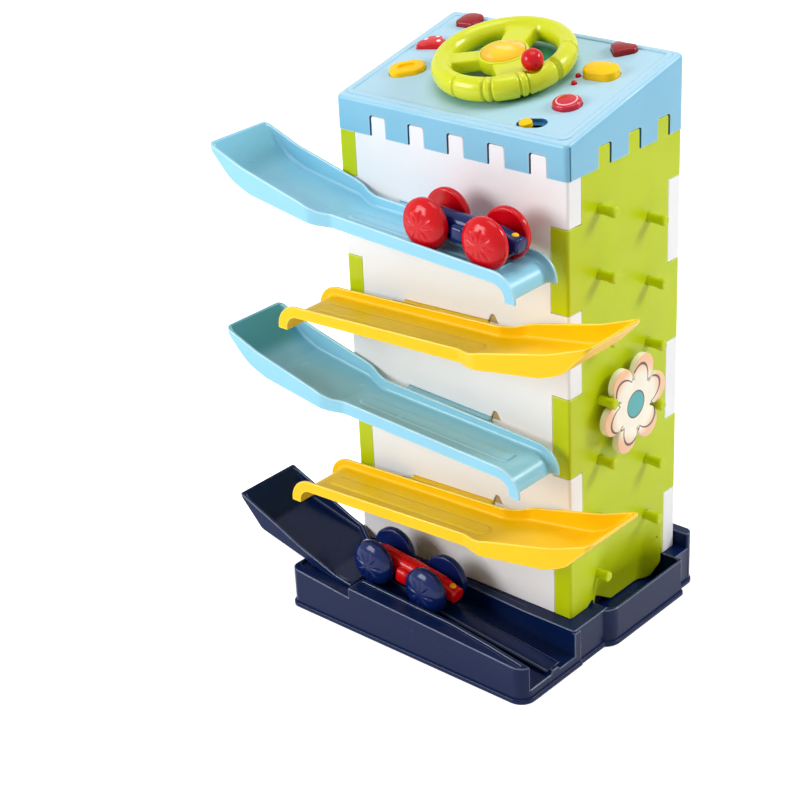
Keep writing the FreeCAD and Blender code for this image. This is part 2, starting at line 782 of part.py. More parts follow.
def make_landing_ramp():
    """The lowest basin: it stands in the left end of the trough and lets cars roll on into it."""
    join, knee, foot = landing_floor()
    top = foot[1] + 26.0
    wall_run = (top - foot[1]) / math.tan(math.radians(basin_wall_angle))
    t = ramp_wall
    end = foot[0] - 28
    under = [(join[0], join[1] - t), (knee[0], knee[1] - t, 30), (foot[0] - 1, foot[1] - t, 10),
             (foot[0] - 1 - wall_run, top - t)]
    rim = [(foot[0] - wall_run - 1, top), (foot[0] + 16, foot[1] + 8.6, 40), (foot[0] + 45, foot[1] - 4.4, 40),
           (join[0] - 18, join[1] + 3.0, 10), join]
    side = prism(under + rim, "xz", basin_y[0] - 1, front_face + 5)
    narrow, wide = knee[0] + 2, knee[0] - 18
    plan = prism([
        (end, basin_y[0], 6), (join[0], basin_y[0]), (join[0], landing_back_y), (narrow, landing_back_y, 8),
        (wide, basin_y[1], 8), (end, basin_y[1], 6),
    ], "xy", 0, 120)
    inner_side = prism([
        (join[0] + 5, join[1] - 0.4), (knee[0], knee[1], 30), (foot[0] + 0.8, foot[1], 10),
        (foot[0] + 0.8 - wall_run * 1.5, foot[1] + (top - foot[1]) * 1.5), (join[0] + 5, top + 30),
    ], "xz", basin_y[0] - 5, front_face + 15)
    inner_plan = prism([
        (end - 15, basin_y[0] + t), (join[0] + 5, basin_y[0] + t), (join[0] + 5, landing_back_y - t),
        (narrow - t, landing_back_y - t, 8), (wide - t, basin_y[1] - t, 8), (end - 15, basin_y[1] - t),
    ], "xy", 0, 140)
    shape = side.common(plan).cut(inner_side.common(inner_plan))
    seat = knee[1] - t
    far, near = knee[0] - 28, knee[0] - 4
    leg = [(far, seat + 0.9), (near, seat + 0.25), (near, seat + 2.0), (far, seat + 7.5)]
    legs = [prism(leg, "xz", front_face + y, front_face + y + 3) for y in (-59, -27)]
    return union([shape] + legs)


# Cars


def wheel(side):
    """A domed wheel with a flat tread, bored from its inner side."""
    tread_end = wheel_out - 5.0
    cap_r = wheel_r - 2.5
    cap_y = wheel_out - 2.6
    sphere_r = (cap_r ** 2 + 2.6 ** 2) / (2 * 2.6)
    half_y = wheel_out - sphere_r + math.sqrt(sphere_r ** 2 - (cap_r / 2) ** 2)
    profile = [(wheel_in, 0), (wheel_in, wheel_r - 2), (wheel_in + 1, wheel_r), (tread_end, wheel_r)]
    points = [Vector(0, y, z) for y, z in profile]
    edges = [Part.LineSegment(a, b).toShape() for a, b in zip(points, points[1:])]
    shoulder = Vector(0, cap_y - 0.35, wheel_r - 1.1)
    edges.append(Part.Arc(points[-1], shoulder, Vector(0, cap_y, cap_r)).toShape())
    edges.append(Part.Arc(Vector(0, cap_y, cap_r), Vector(0, half_y, cap_r / 2), Vector(0, wheel_out, 0)).toShape())
    edges.append(Part.LineSegment(Vector(0, wheel_out, 0), points[0]).toShape())
    solid = Part.Face(Part.Wire(edges)).revolve(Vector(0, 0, 0), Vector(0, 1, 0), 360)
    dish = cylinder(wheel_r - 5, (0, wheel_in - 1, 0), (0, wheel_in + 2.5, 0))
    dish = dish.cut(cylinder(4, (0, wheel_in - 2, 0), (0, wheel_in + 3, 0)))
    bore = cylinder(axle_r + 0.01, (0, wheel_in - 1, 0), (0, wheel_out - 3.5, 0))
    solid = cut(solid, [dish, bore])
    return solid if side > 0 else solid.mirror(Vector(0, 0, 0), Vector(0, 1, 0))


def superellipse_section(x, half_w, low, high):
    """Rounded box section of the car body."""
    points = []
    for i in range(16):
        angle = 2 * math.pi * i / 16
        c, s = math.cos(angle), math.sin(angle)
        y = half_w * math.copysign(abs(c) ** 0.7, c)
        z = (low + high) / 2 + (high - low) / 2 * math.copysign(abs(s) ** 0.7, s)
        points.append(Vector(x, y, z))
    spline = Part.BSplineCurve()
    spline.interpolate(points, PeriodicFlag=True)
    return Part.Wire(spline.toShape())


def car_parts():
    """All pieces of a car standing on z = 0 with its nose along +X and its middle at the origin."""
    stations = [
        (-41, 4.5, 15.5, 26), (-34, 7.0, 14, 29.8), (-20, 7.6, 14, 31), (0, 7.7, 14, 32), (20, 7.7, 14, 31.5),
        (38, 7.6, 14, 30), (48, 7.0, 14, 27), (53, 4.0, 16, 22),
    ]
    hull = Part.makeLoft([superellipse_section(*station) for station in stations], True)
    pods = box(-pod_x, pod_x, -pod_y, pod_y, 12.0, 26.5)
    pods = pods.makeFillet(2.0, pods.Edges)
    half = wheel_base / 2
    ear_x, ear_top = 3.6, wheel_r + 4.0
    pockets = [box(-37.5, 45.5, -7.0, 7.0, 8, 13.6)]
    for x in (-half, half):
        pockets.append(box(x - ear_x - 0.4, x + ear_x + 0.4, -20, 20, 8, ear_top + 0.4))
    lamp_r = 3.0
    lamp_spots = [(46.5, 0.0), (-36.4, 0.0)]
    for x, y in lamp_spots:
        pockets.append(cylinder(lamp_r + 0.05, (x, y, 24), (x, y, 45)))
    body = cut(union([hull, pods]), pockets)
    chassis_pieces = [box(-37, 45, -6.8, 6.8, 11.2, 13.4)]
    for x in (-half, half):
        chassis_pieces.append(box(x - ear_x, x + ear_x, -7.0, 7.0, 11.2, ear_top))
    bores = [cylinder(axle_r + axle_fit, (x, -20, wheel_r), (x, 20, wheel_r)) for x in (-half, half)]
    slot = [box(x - ear_x - 1, x + ear_x + 1, -4.2, 4.2, 13.4, ear_top + 1) for x in (-half, half)]
    chassis = cut(union(chassis_pieces), bores + slot)
    lamps = []
    for (x, y), top in zip(lamp_spots, (29.2, 30.2)):
        lamp = cylinder(lamp_r, (x, y, 24.1), (x, y, top))
        lamp = lamp.makeFillet(1.4, [edge for edge in lamp.Edges if edge.BoundBox.ZMin > top - 0.1])
        lamps.append(lamp)
    parts = {"body": body, "chassis": chassis, "lamps": group(lamps)}
    reach = wheel_out - 3.7
    for name, x in (("rear", -half), ("front", half)):
        parts[name + "_axle"] = cylinder(axle_r, (x, -reach, wheel_r), (x, reach, wheel_r))
        parts[name + "_wheels"] = group([shifted(wheel(side), x=x, z=wheel_r) for side in (-1, 1)])
    return parts


def save_car(prefix, parts, x, y, floor_z, slope):
    angle = math.degrees(math.atan(slope))
    for name, shape in parts.items():
        placed = turned(shape, angle, (0, 1, 0))
        save(prefix + "_" + name, shifted(placed, x, y, floor_z + seat_gap))


# Console, whose top face is tilted towards the player


tilt = math.degrees(math.atan((lid_back_z - lid_front_z) / (tower_d + 2 * lid_over)))
top_place = Placement(Vector(0, 0, (lid_front_z + lid_back_z) / 2), Rotation(Vector(1, 0, 0), tilt))


def on_top(shape):
    """Moves a shape drawn on the flat console top (z = 0 is its surface) to its tilted place."""
    placed = shape.copy()
    placed.Placement = top_place.multiply(placed.Placement)
    return placed


lid_half_x = tower_w / 2 + lid_over
lid_half_y = tower_d / 2 + lid_over


def rounded_box(half_l, half_w, radius):
    return [(-half_l, -half_w, radius), (half_l, -half_w, radius), (half_l, half_w, radius),
            (-half_l, half_w, radius)]


# Each button: its centre on the top, its height, its outline, and the outline's turn in degrees
buttons = {
    "button_arch": ((31 - lid_half_x, lid_half_y - 15), 4.0, [(-11, -9, 4), (11, -9, 4), (8.5, 10, 5), (-8.5, 10, 5)], 5),
    "button_car": ((25.5 - lid_half_x, 19), 3.5, [(-13.5, -8.5, 2.5), (13.5, -8.5, 2.5), (13.5, 0.5, 3),
                                                  (7.5, 2, 3), (4.5, 9, 3), (-6, 9, 3), (-8.5, 1.5, 3),
                                                  (-13.5, 0, 3)], 20),
    "button_ring": ((33.5 - lid_half_x, 50.5 - lid_half_y), 4.0, rounded_box(15.0, 10.0, 9.5), 38),
    "button_heart": ((lid_half_x - 47, lid_half_y - 16), 4.0, [(0, -10.5, 3), (12, 1, 4), (10, 10, 5), (0, 7, 3),
                                                               (-10, 10, 5), (-12, 1, 4)], 0),
    "button_bar": ((lid_half_x - 40, 22.5), 6.5, rounded_box(14.5, 9.5, 8.0), 6),
    "button_oval": ((lid_half_x - 37.5, 49.5 - lid_half_y), 4.0, rounded_box(11.5, 10.5, 10.3), 0),
}
lamp_spots_top = ((lid_half_x - 56.5, 14.0), (lid_half_x - 52.5, 3.0))
slider_centre = (lid_half_x - 47.0, 17.0 - lid_half_y)
slider_angle = 20.0
slider_half = (12.0, 7.0)
slider_knob_r = 5.2
slider_range = 10.0
slider_floor = -3.0
slider_top = 1.5


def button_wire(name, z):
    (u, v), _, points, angle = buttons[name]
    wire = Part.Wire(corner_edges(points, lambda p: Vector(p.x, p.y, 0)))
    wire.rotate(Vector(0, 0, 0), Vector(0, 0, 1), angle)
    wire.translate(Vector(u, v, z))
    return wire


def button_prism(name, out, low, high):
    wire = button_wire(name, low)
    if out:
        wire = wire.makeOffset2D(out)
    return Part.Face(wire).extrude(Vector(0, 0, high - low))


def make_button(name):
    """Cap that shows, flange that keeps it under the cover, stem that reaches its switch."""
    (u, v), height, _, angle = buttons[name]
    under = -lid_wall - 0.2
    cap = button_prism(name, 0, under - flange_t, height)
    top_edges = [edge for edge in cap.Edges if edge.BoundBox.ZMin > height - 0.01]
    cap = cap.makeFillet(1.5, top_edges)
    rim = button_prism(name, 1.5, under - flange_t, under)
    stem = cylinder(2.5, (u, v, board_h + board_t + 3.5 + button_travel + 0.4), (u, v, under))
    shape = union([cap, rim, stem])
    if name == "button_ring":
        well = turned(prism(rounded_box(8.0, 4.0, 3.9), "xy", height - 2.2, height + 2), angle)
        shape = shape.cut(shifted(well, u, v))
    return on_top(shape)


def slot_prism(half_l, half_w, low, high):
    u, v = slider_centre
    shape = prism(rounded_box(half_l, half_w, half_w - 0.01), "xy", low, high)
    return shifted(turned(shape, slider_angle), u, v)


def make_slider():
    u, v = slider_centre
    start = -slider_range / 2
    low = -lid_wall - 4.2
    under = slider_floor + 0.2
    thumb = Part.makeCylinder(slider_knob_r, slider_top - under, Vector(start, 0, under))
    thumb = thumb.makeFillet(1.2, [edge for edge in thumb.Edges if edge.BoundBox.ZMin > slider_top - 0.1])
    neck = box(start - 2.5, start + 2.5, -1.6, 1.6, low, under)
    foot = box(start - 5, start + 5, -4.5, 4.5, low - 1.2, low)
    shape = shifted(turned(union([thumb, neck, foot]), slider_angle), u, v)
    return on_top(shape)


def vertical_boss_places():
    return [(x, y) for x in (left_face + 8.5, right_face - 8.5) for y in (front_face + 17, back_face - 29)]


board_boss_places = [(u, v) for u in (-48.0, 48.0) for v in (24.0 - lid_half_y, lid_half_y - 44.0)]


def make_console_shell():
    x_out, y_out = lid_half_x, lid_half_y
    slope = (lid_back_z - lid_front_z) / (2 * y_out)
    outer = prism([(-y_out, lid_z), (-y_out, lid_front_z), (y_out, lid_back_z), (y_out, lid_z)],
                  "yz", -x_out, x_out)
    upright = [e for e in outer.Edges if e.BoundBox.ZLength > 20 and e.BoundBox.YLength < 1]
    outer = outer.makeFillet(lid_r, upright)
    top = [e for e in outer.Edges if e.BoundBox.ZMin > lid_front_z - 4]
    outer = outer.makeFillet(lid_r - 0.5, top)
    t = lid_wall
    roof = t / math.cos(math.radians(tilt))
    inner = prism([
        (-y_out + t, lid_z - 1), (-y_out + t, lid_front_z + slope * t - roof),
        (y_out - t, lid_back_z - slope * t - roof), (y_out - t, lid_z - 1),
    ], "yz", -x_out + t, x_out - t)
    room = inner.copy()
    bosses = []
    for x, y in vertical_boss_places():
        bosses.append(cylinder(4.5, (x, y, floor_plate_z + floor_plate_t + 0.2), (x, y, 500)))
    for u, v in board_boss_places:
        bosses.append(on_top(cylinder(3.2, (u, v, board_h + board_t + 0.1), (u, v, 5))))
    bosses = [boss.common(room) for boss in bosses]
    shell = union([outer.cut(inner)] + bosses + [on_top(cylinder(14, (0, 0, -1), (0, 0, 6.2)))])

    cuts = []
    for x, y in vertical_boss_places():
        cuts.append(cylinder(1.25, (x, y, floor_plate_z), (x, y, floor_plate_z + 12)))
    for u, v in board_boss_places:
        cuts.append(on_top(cylinder(1.0, (u, v, board_h), (u, v, board_h + board_t + 7))))
    cuts.append(on_top(cylinder(shaft_r + shaft_fit, (0, 0, -20), (0, 0, 20))))
    for name in buttons:
        cuts.append(on_top(button_prism(name, button_gap, -10, 8)))
    for u, v in lamp_spots_top:
        cuts.append(on_top(cylinder(2.3, (u, v, -10), (u, v, 5))))
    cuts.append(on_top(slot_prism(slider_half[0], slider_half[1], slider_floor, 5)))
    cuts.append(door_opening())
    notch_top = lid_z + merlon_h + merlon_gap
    half = merlon_w / 2 + merlon_gap
    front_centres = merlon_centres(merlon_pitch_front, merlon_shift_front, 5)
    side_centres = merlon_centres(merlon_pitch_side, merlon_shift_side, 3)
    for depth, centres, angles in ((y_out, front_centres, (0, 180)), (x_out, side_centres, (90, 270))):
        for angle in angles:
            for centre in centres:
                notch = prism([
                    (centre - half, lid_z - 2), (centre + half, lid_z - 2),
                    (centre + half, notch_top, 2), (centre - half, notch_top, 2),
                ], "xz", -depth - 1, -depth + t + 1.2)
                cuts.append(turned(notch, angle))
    shell = cut(shell, cuts)
    cup = slot_prism(slider_half[0] + 1.5, slider_half[1] + 1.5, slider_floor - 1.4, -1.0)
    cup = cup.cut(slot_prism(slider_half[0], slider_half[1], slider_floor, 0))
    cup = cup.cut(slot_prism(slider_range / 2 + 3.2, 2.2, -10, 0))
    return union([shell, on_top(cup)])


def door_opening():
    y = lid_half_y
    (x0, x1), (z0, z1), gap = cover_x, cover_z, cover_gap
    return box(x0 - gap, x1 + gap, y - lid_wall - 1, y + 1, z0 - gap, z1 + gap)


def make_console_floor():
    x_in = tower_w / 2 - wall - ring_gap
    y_in = tower_d / 2 - wall - ring_gap
    top = floor_plate_z + floor_plate_t
    plate = box(-x_in, x_in, -y_in, y_in, floor_plate_z, top)
    skirt = box(-x_in, x_in, -y_in, y_in, floor_plate_z - 14, floor_plate_z + 0.5)
    skirt = skirt.cut(box(-x_in + 2, x_in - 2, -y_in + 2, y_in - 2, floor_plate_z - 15, floor_plate_z + 0.5))
    cuts = []
    for x, y in vertical_boss_places():
        cuts.append(cylinder(1.7, (x, y, floor_plate_z - 1), (x, y, top + 1)))
        cuts.append(cylinder(3.2, (x, y, floor_plate_z - 15), (x, y, floor_plate_z)))
    x, y = speaker_place
    for i in range(-2, 3):
        cuts.append(box(x + 7 * i - 1.2, x + 7 * i + 1.2, y - 11, y + 11, floor_plate_z - 1, top + 1))
    return cut(union([plate, skirt]), cuts)


def screw(place, head_r, head_h, shank_r, length):
    """Pan head screw: its head's bearing face is at place and its shank runs up from there."""
    x, y, z = place
    head = cylinder(head_r, (x, y, z - head_h), (x, y, z))
    head = head.makeFillet(head_h * 0.4, [e for e in head.Edges if e.BoundBox.ZMax < z - head_h + 0.01])
    shank = cylinder(shank_r, (x, y, z - 0.5), (x, y, z + length))
    slots = [box(x - head_r * 0.6, x + head_r * 0.6, y - 0.4, y + 0.4, z - head_h - 1, z - head_h + 0.9),
             box(x - 0.4, x + 0.4, y - head_r * 0.6, y + head_r * 0.6, z - head_h - 1, z - head_h + 0.9)]
    return cut(union([head, shank]), slots)


def make_console_screws():
    return group([screw((x, y, floor_plate_z - 0.05), 3.0, 2.0, 1.2, 11) for x, y in vertical_boss_places()])


def make_board_screws():
    return group([on_top(screw((u, v, board_h - 0.05), 2.2, 1.5, 0.95, 8)) for u, v in board_boss_places])


def make_board():
    side, front, back, step = lid_half_x - 19, 16 - lid_half_y, lid_half_y - 8, lid_half_y - 32
    outline = [(-side, front, 3), (side, front, 3), (side, back, 3), (57, back, 3), (57, step, 3), (-57, step, 3),
               (-57, back, 3), (-side, back, 3)]
    board = prism(outline, "xy", board_h, board_h + board_t)
    cuts = [cylinder(16, (0, 0, board_h - 1), (0, 0, board_h + 5))]
    for u, v in board_boss_places:
        cuts.append(cylinder(1.2, (u, v, board_h - 1), (u, v, board_h + 5)))
    return on_top(cut(board, cuts))


def make_switches():
    base = board_h + board_t
    solids = []
    for (u, v), *_ in buttons.values():
        can = box(u - 3, u + 3, v - 3, v + 3, base, base + 2.6)
        plunger = cylinder(1.6, (u, v, base + 2.5), (u, v, base + 3.5))
        solids.append(on_top(union([can, plunger])))
    u, v = slider_centre
    switch = box(u - 8, u + 8, v - 4, v + 4, base, base + 2.4)
    solids.append(on_top(turned(switch, slider_angle, centre=(u, v, 0))))
    return group(solids)


def make_indicator_lamps():
    base = board_h + board_t
    lamps = []
    for u, v in lamp_spots_top:
        stem = cylinder(2.2, (u, v, base + 0.1), (u, v, 0.5))
        dome = Part.makeSphere(2.2, Vector(u, v, 0.5))
        lamps.append(on_top(union([stem, dome])))
    return group(lamps)


def make_speaker():
    low = floor_plate_z + floor_plate_t
    x, y = speaker_place
    frame = cylinder(20, (x, y, low), (x, y, low + 3))
    basket = Part.makeCone(17, 10, 6, Vector(x, y, low + 2.9), Vector(0, 0, 1))
    magnet = cylinder(9, (x, y, low + 8.8), (x, y, low + 13))
    throat = cylinder(15.5, (x, y, low - 1), (x, y, low + 1.5))
    return cut(union([frame, basket, magnet]), [throat])


cell_r = 7.2
cell_length = 49.5
cell_y = lid_half_y - 14.5
cell_levels = (445.9, 461.1)
battery_front_y = lid_half_y - 2.6
screw_x, screw_z = 40.5, 454.0


def make_battery_box():
    low, high = cell_levels[0] - cell_r - 0.5, cell_levels[1] + cell_r + 0.5
    t = 1.5
    body = box(-29 - t, 29 + t, cell_y - cell_r - 0.6 - t, battery_front_y, low - t, high + t)
    flange = box(cover_x[0] - 4, cover_x[1] + 2, battery_front_y - 1.6, battery_front_y, low - t - 1.2, high + t + 1.2)
    boss = cylinder(3.8, (screw_x, cell_y - 3.5, screw_z), (screw_x, battery_front_y - 1, screw_z))
    web = box(30, screw_x, cell_y - 1.5, battery_front_y - 1, screw_z - 1, screw_z + 1)
    cavity = box(-29, 29, cell_y - cell_r - 0.6, battery_front_y + 1, low, high)
    bore = cylinder(1.5, (screw_x, cell_y - 2, screw_z), (screw_x, battery_front_y + 1, screw_z))
    return cut(union([body, flange, boss, web]), [cavity, bore])


def make_cells():
    cells = []
    for level, way in zip(cell_levels, (1, -1)):
        half = cell_length / 2
        can = cylinder(cell_r, (-half * way, cell_y, level), ((half - 1.5) * way, cell_y, level))
        nub = cylinder(2.7, ((half - 2) * way, cell_y, level), (half * way, cell_y, level))
        cells.append(union([can, nub]))
    return group(cells)


def make_contacts():
    plates = []
    for level in cell_levels:
        for way in (-1, 1):
            x_wall = 28.9 * way
            plate = box(min(x_wall, x_wall - 0.6 * way), max(x_wall, x_wall - 0.6 * way),
                        cell_y - 5, cell_y + 5, level - 5.5, level + 5.5)
            cone = Part.makeCone(5.0, 2.4, 28.4 - cell_length / 2 - 0.1, Vector(28.4 * way, cell_y, level),
                                 Vector(-way, 0, 0))
            plates.append(union([plate, cone]))
    return group(plates)


def make_battery_door():
    y = lid_half_y
    (x0, x1), (z0, z1) = cover_x, cover_z
    plate = prism([(x0, z0, 2), (x1, z0, 2), (x1, z1, 2), (x0, z1, 2)], "xz", battery_front_y + 0.1, y)
    grip = [box(-22, -8, y - 0.8, y + 1, z0 + 6.3 + 3 * i, z0 + 7.7 + 3 * i) for i in range(5)]
    hole = [
        cylinder(1.6, (screw_x, y - 6, screw_z), (screw_x, y + 1, screw_z)),
        cylinder(3.1, (screw_x, y - 1.1, screw_z), (screw_x, y + 1, screw_z)),
    ]
    return cut(plate, grip + hole)


def make_battery_screw():
    y = lid_half_y
    head = cylinder(3.0, (screw_x, y - 1.05, screw_z), (screw_x, y + 0.5, screw_z))
    shank = cylinder(1.42, (screw_x, y - 14, screw_z), (screw_x, y - 1, screw_z))
    slot = box(screw_x - 2, screw_x + 2, y - 0.4, y + 1, screw_z - 0.4, screw_z + 0.4)
    return union([head, shank]).cut(slot)


spoke_angles = ((212.0, 20.0), (107.0, 24.0), (-30.0, 34.0))


def knob_centre():
    radius, angle, height = knob_place
    turn = math.radians(angle)
    return (radius * math.cos(turn), radius * math.sin(turn), height)


def make_steering_wheel():
    half_w = wheel_rim_w / 2
    section = [
        (wheel_major_r - half_w, wheel_rim_low, 6.5), (wheel_major_r + half_w, wheel_rim_low, 6.5),
        (wheel_major_r + half_w, wheel_rim_high, 7), (wheel_major_r - half_w, wheel_rim_high, 7),
    ]
    edges = corner_edges(section, lambda p: Vector(p.x, 0, p.y))
    rim = Part.Face(Part.Wire(edges)).revolve(Vector(0, 0, 0), Vector(0, 0, 1), 360)
    hub = cylinder(hub_r, (0, 0, hub_low), (0, 0, hub_top))
    hub = hub.makeFillet(1.0, [e for e in hub.Edges if e.BoundBox.ZMin > hub_top - 0.1])
    spokes = []
    for angle, width in spoke_angles:
        spoke = box(hub_r - 4, wheel_major_r, -width / 2, width / 2, 8.0, 16.0)
        spokes.append(turned(spoke, angle))
    shaft = cylinder(shaft_r, (0, 0, -5.0), (0, 0, hub_low + 1))
    tail = cylinder(3.5, (0, 0, -9.0), (0, 0, -4.0))
    solid = union([rim, hub, shaft, tail] + spokes)
    x, y, z = knob_centre()
    grooves = []
    for angle in (-97, -66, -36, -4, 30):
        groove = box(wheel_major_r + 4.5, wheel_major_r + 12, -1.2, 1.2, wheel_rim_low - 1, wheel_rim_high + 1)
        grooves.append(turned(groove, angle))
    cuts = [
        cylinder(horn_r + 0.3, (0, 0, hub_top - 7), (0, 0, hub_top + 5)),
        Part.makeSphere(knob_r + 0.5, Vector(x, y, z)),
        cylinder(2.02, (x, y, wheel_rim_low + 2), (x, y, z)),
    ]
    return on_top(cut(solid, cuts + grooves))


def make_steering_retainer():
    ring = cylinder(12, (0, 0, -8.2), (0, 0, -5.05))
    collar = cylinder(7, (0, 0, -8.2), (0, 0, -5.05))
    hub = cylinder(8.5, (0, 0, -8.2), (0, 0, -lid_wall - 0.3))
    bore = cylinder(shaft_r + 0.02, (0, 0, -5.05), (0, 0, 0))
    tail_bore = cylinder(3.52, (0, 0, -10), (0, 0, 0))
    return on_top(cut(union([ring, collar, hub]), [bore, tail_bore]))


def make_horn_button():
    cap = cylinder(horn_r, (0, 0, hub_top - 3.0), (0, 0, hub_top + 0.8))
    cap = cap.makeFillet(1.2, [e for e in cap.Edges if e.BoundBox.ZMin > hub_top + 0.7])
    stem = cylinder(4, (0, 0, hub_top - 7 + horn_travel + 0.3), (0, 0, hub_top - 2.5))
    return on_top(union([cap, stem]))


def make_horn_contact():
    ring = cylinder(12, (0, 0, hub_top - 7), (0, 0, hub_top - 5))
    return on_top(ring.cut(cylinder(7, (0, 0, hub_top - 8), (0, 0, hub_top - 4))))


def make_spinner_pin():
    x, y, z = knob_centre()
    return on_top(cylinder(2.0, (x, y, wheel_rim_low + 2.1), (x, y, z + 3)))


def make_spinner_knob():
    x, y, z = knob_centre()
    ball = Part.makeSphere(knob_r, Vector(x, y, z))
    return on_top(ball.cut(cylinder(2.06, (x, y, z - 10), (x, y, z + 3.3))))


# Tumbler: a flower of six petals that hangs between two pegs


def make_tumbler():
    upper = (peg_front_y, peg_front_top_z - 3 * peg_pitch)
    lower = (peg_back_y, peg_back_top_z - 3 * peg_pitch)
    centre_y, centre_z = (upper[0] + lower[0]) / 2, (upper[1] + lower[1]) / 2
    notch_angle = math.atan2(upper[1] - centre_z, upper[0] - centre_y)
    petal_reach = math.hypot(upper[0] - centre_y, upper[1] - centre_z) - petal_inset
    x0 = tower_w / 2 + tumbler_off
    x1 = x0 + tumbler_t
    petals = [cylinder(petal_reach - petal_r / 2, (x0, centre_y, centre_z), (x1, centre_y, centre_z))]
    for i in range(6):
        angle = notch_angle + math.radians(30 + 60 * i)
        y = centre_y + petal_reach * math.cos(angle)
        z = centre_z + petal_reach * math.sin(angle)
        petals.append(cylinder(petal_r, (x0, y, z), (x1, y, z)))
    clear = peg_head_r + seat_gap
    notches = [cylinder(clear, (x0 - 1, y, z), (x1 + 1, y, z)) for y, z in (upper, lower)]
    return cut(union(petals), notches)


save("base_shell", make_base())
save("front_panel", make_front_panel())
save("right_panel", make_right_panel())
save("back_panel", make_back_panel())
save("left_panel", make_left_panel())
save("wall_pegs", make_pegs())
save("tumbler", make_tumbler())
save("back_door", make_back_door())
save("back_door_pins", make_door_pins())

ramp_names = ("ramp_1_blue", "ramp_2_yellow", "ramp_3_blue", "ramp_4_yellow")
for index, ramp_name in enumerate(ramp_names):
    save(ramp_name, make_ramp(index))
save("landing_ramp", make_landing_ramp())

car = car_parts()
car_a_z = lip_top_z - channel_wall_h + ramp_wall + ramp_slope * (lip_x - car_a_x)
save_car("car_a", car, car_a_x, car_a_y, car_a_z, ramp_slope)
save_car("car_b", car, car_b_x, car_b_y, trough_z(car_b_x), trough_slope)

save("console_shell", make_console_shell())
save("console_floor", make_console_floor())
save("console_screws", make_console_screws())
save("circuit_board", make_board())
save("board_screws", make_board_screws())
save("button_switches", make_switches())
save("indicator_lamps", make_indicator_lamps())
save("speaker", make_speaker())
save("battery_box", make_battery_box())
save("battery_cells", make_cells())
save("battery_contacts", make_contacts())
save("battery_door", make_battery_door())
save("battery_door_screw", make_battery_screw())
save("steering_wheel", make_steering_wheel())
save("steering_retainer", make_steering_retainer())
save("horn_button", make_horn_button())
save("horn_contact", make_horn_contact())
save("spinner_pin", make_spinner_pin())
save("spinner_knob", make_spinner_knob())
save("power_slider", make_slider())
for button in buttons:
    save(button, make_button(button))
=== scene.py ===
"""Looks of the toy car ramp: plastics, rounded edges, wheels, buttons, studio and camera.

Metres, in the same frame as the frame it loads: +X right, +Y back, +Z up, origin under the tower.
"""
import json
import math

import bmesh
import bpy
from mathutils import Matrix, Vector
from mathutils.bvhtree import BVHTree


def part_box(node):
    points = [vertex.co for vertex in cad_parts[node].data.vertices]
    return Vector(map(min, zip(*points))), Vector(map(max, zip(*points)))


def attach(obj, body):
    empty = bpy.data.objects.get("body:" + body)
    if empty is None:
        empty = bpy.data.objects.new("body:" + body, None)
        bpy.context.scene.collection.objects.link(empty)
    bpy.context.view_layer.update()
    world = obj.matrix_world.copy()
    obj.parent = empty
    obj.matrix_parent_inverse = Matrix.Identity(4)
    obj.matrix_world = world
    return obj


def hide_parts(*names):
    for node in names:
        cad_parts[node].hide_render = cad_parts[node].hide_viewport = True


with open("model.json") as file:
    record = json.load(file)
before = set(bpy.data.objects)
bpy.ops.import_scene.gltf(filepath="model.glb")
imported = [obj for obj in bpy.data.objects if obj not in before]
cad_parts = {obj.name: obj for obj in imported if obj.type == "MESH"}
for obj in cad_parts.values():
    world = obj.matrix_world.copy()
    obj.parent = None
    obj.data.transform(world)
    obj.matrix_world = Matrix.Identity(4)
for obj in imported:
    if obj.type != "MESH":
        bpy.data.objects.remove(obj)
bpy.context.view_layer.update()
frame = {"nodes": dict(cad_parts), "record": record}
nodes = frame["nodes"]
body_of_node = {}
for body_name, members in frame["record"]["behaviour"]["bodies"].items():
    for member in members:
        body_of_node[member] = body_name
MM = 0.001

# Colours of the plastics and prints, and of painted shade, sheen and highlights, 0 to 255
NAVY = (8, 27, 70)
WHITE = (238, 238, 241)
GREEN = (188, 204, 2)
RAMP_BLUE = (142, 206, 230)
# Painted shade on the end walls of the blue ramps' left basins
BASIN_SHADE_TEAL = (28, 146, 164)
YELLOW = (252, 198, 2)
# The lid's top colour holds a painted sheen, and its shade colour is painted shade below the steering wheel
LID_TOP_SHEEN = (170, 208, 226)
LID_SIDE = (122, 186, 216)
LID_SHADE = (0, 148, 92)
LIME = (208, 214, 24)
RED = (208, 4, 18)
DARK_RED = (146, 4, 16)
CREAM = (248, 240, 222)
PEACH = (240, 178, 128)
TEAL = (70, 168, 172)
OUTLINE = (84, 60, 48)
# Dark tan painted as shade on the floors of the notches beside the ramps' slots
NOTCH_SHADE_TAN = (176, 148, 100)
AMBER = (250, 178, 0)
STEEL = (168, 170, 174)
BOARD_GREEN = (18, 92, 48)
BLACK = (22, 22, 24)
# Darker blue painted as shade in the slider's recess and on the sides of the lid's teeth
PAINTED_RECESS_SHADE = (34, 104, 150)
GLOSSY_NAVY = (8, 30, 90)
CELL_GREEN = (60, 120, 75)
RINGED_RED = (200, 16, 44)
DOT_WHITE = (245, 240, 240)
RING_PINK = (240, 190, 198)
DISC_YELLOW = (255, 202, 6)
# Pale swirl painted on the horn disc as a highlight
DISC_SWIRL_HIGHLIGHT = (255, 238, 190)

# The console's flat top: its middle and its directions across, up the slope and outward
TOP_TILT = math.atan2(34.0, 152.0)
ACROSS = Vector((1, 0, 0))
UPHILL = Vector((0, math.cos(TOP_TILT), math.sin(TOP_TILT)))
OUTWARD = ACROSS.cross(UPHILL)
TOP_MIDDLE = Vector((0, 0, 463 * MM))
on_top = Matrix.Translation(TOP_MIDDLE) @ Matrix((ACROSS, UPHILL, OUTWARD)).transposed().to_4x4()


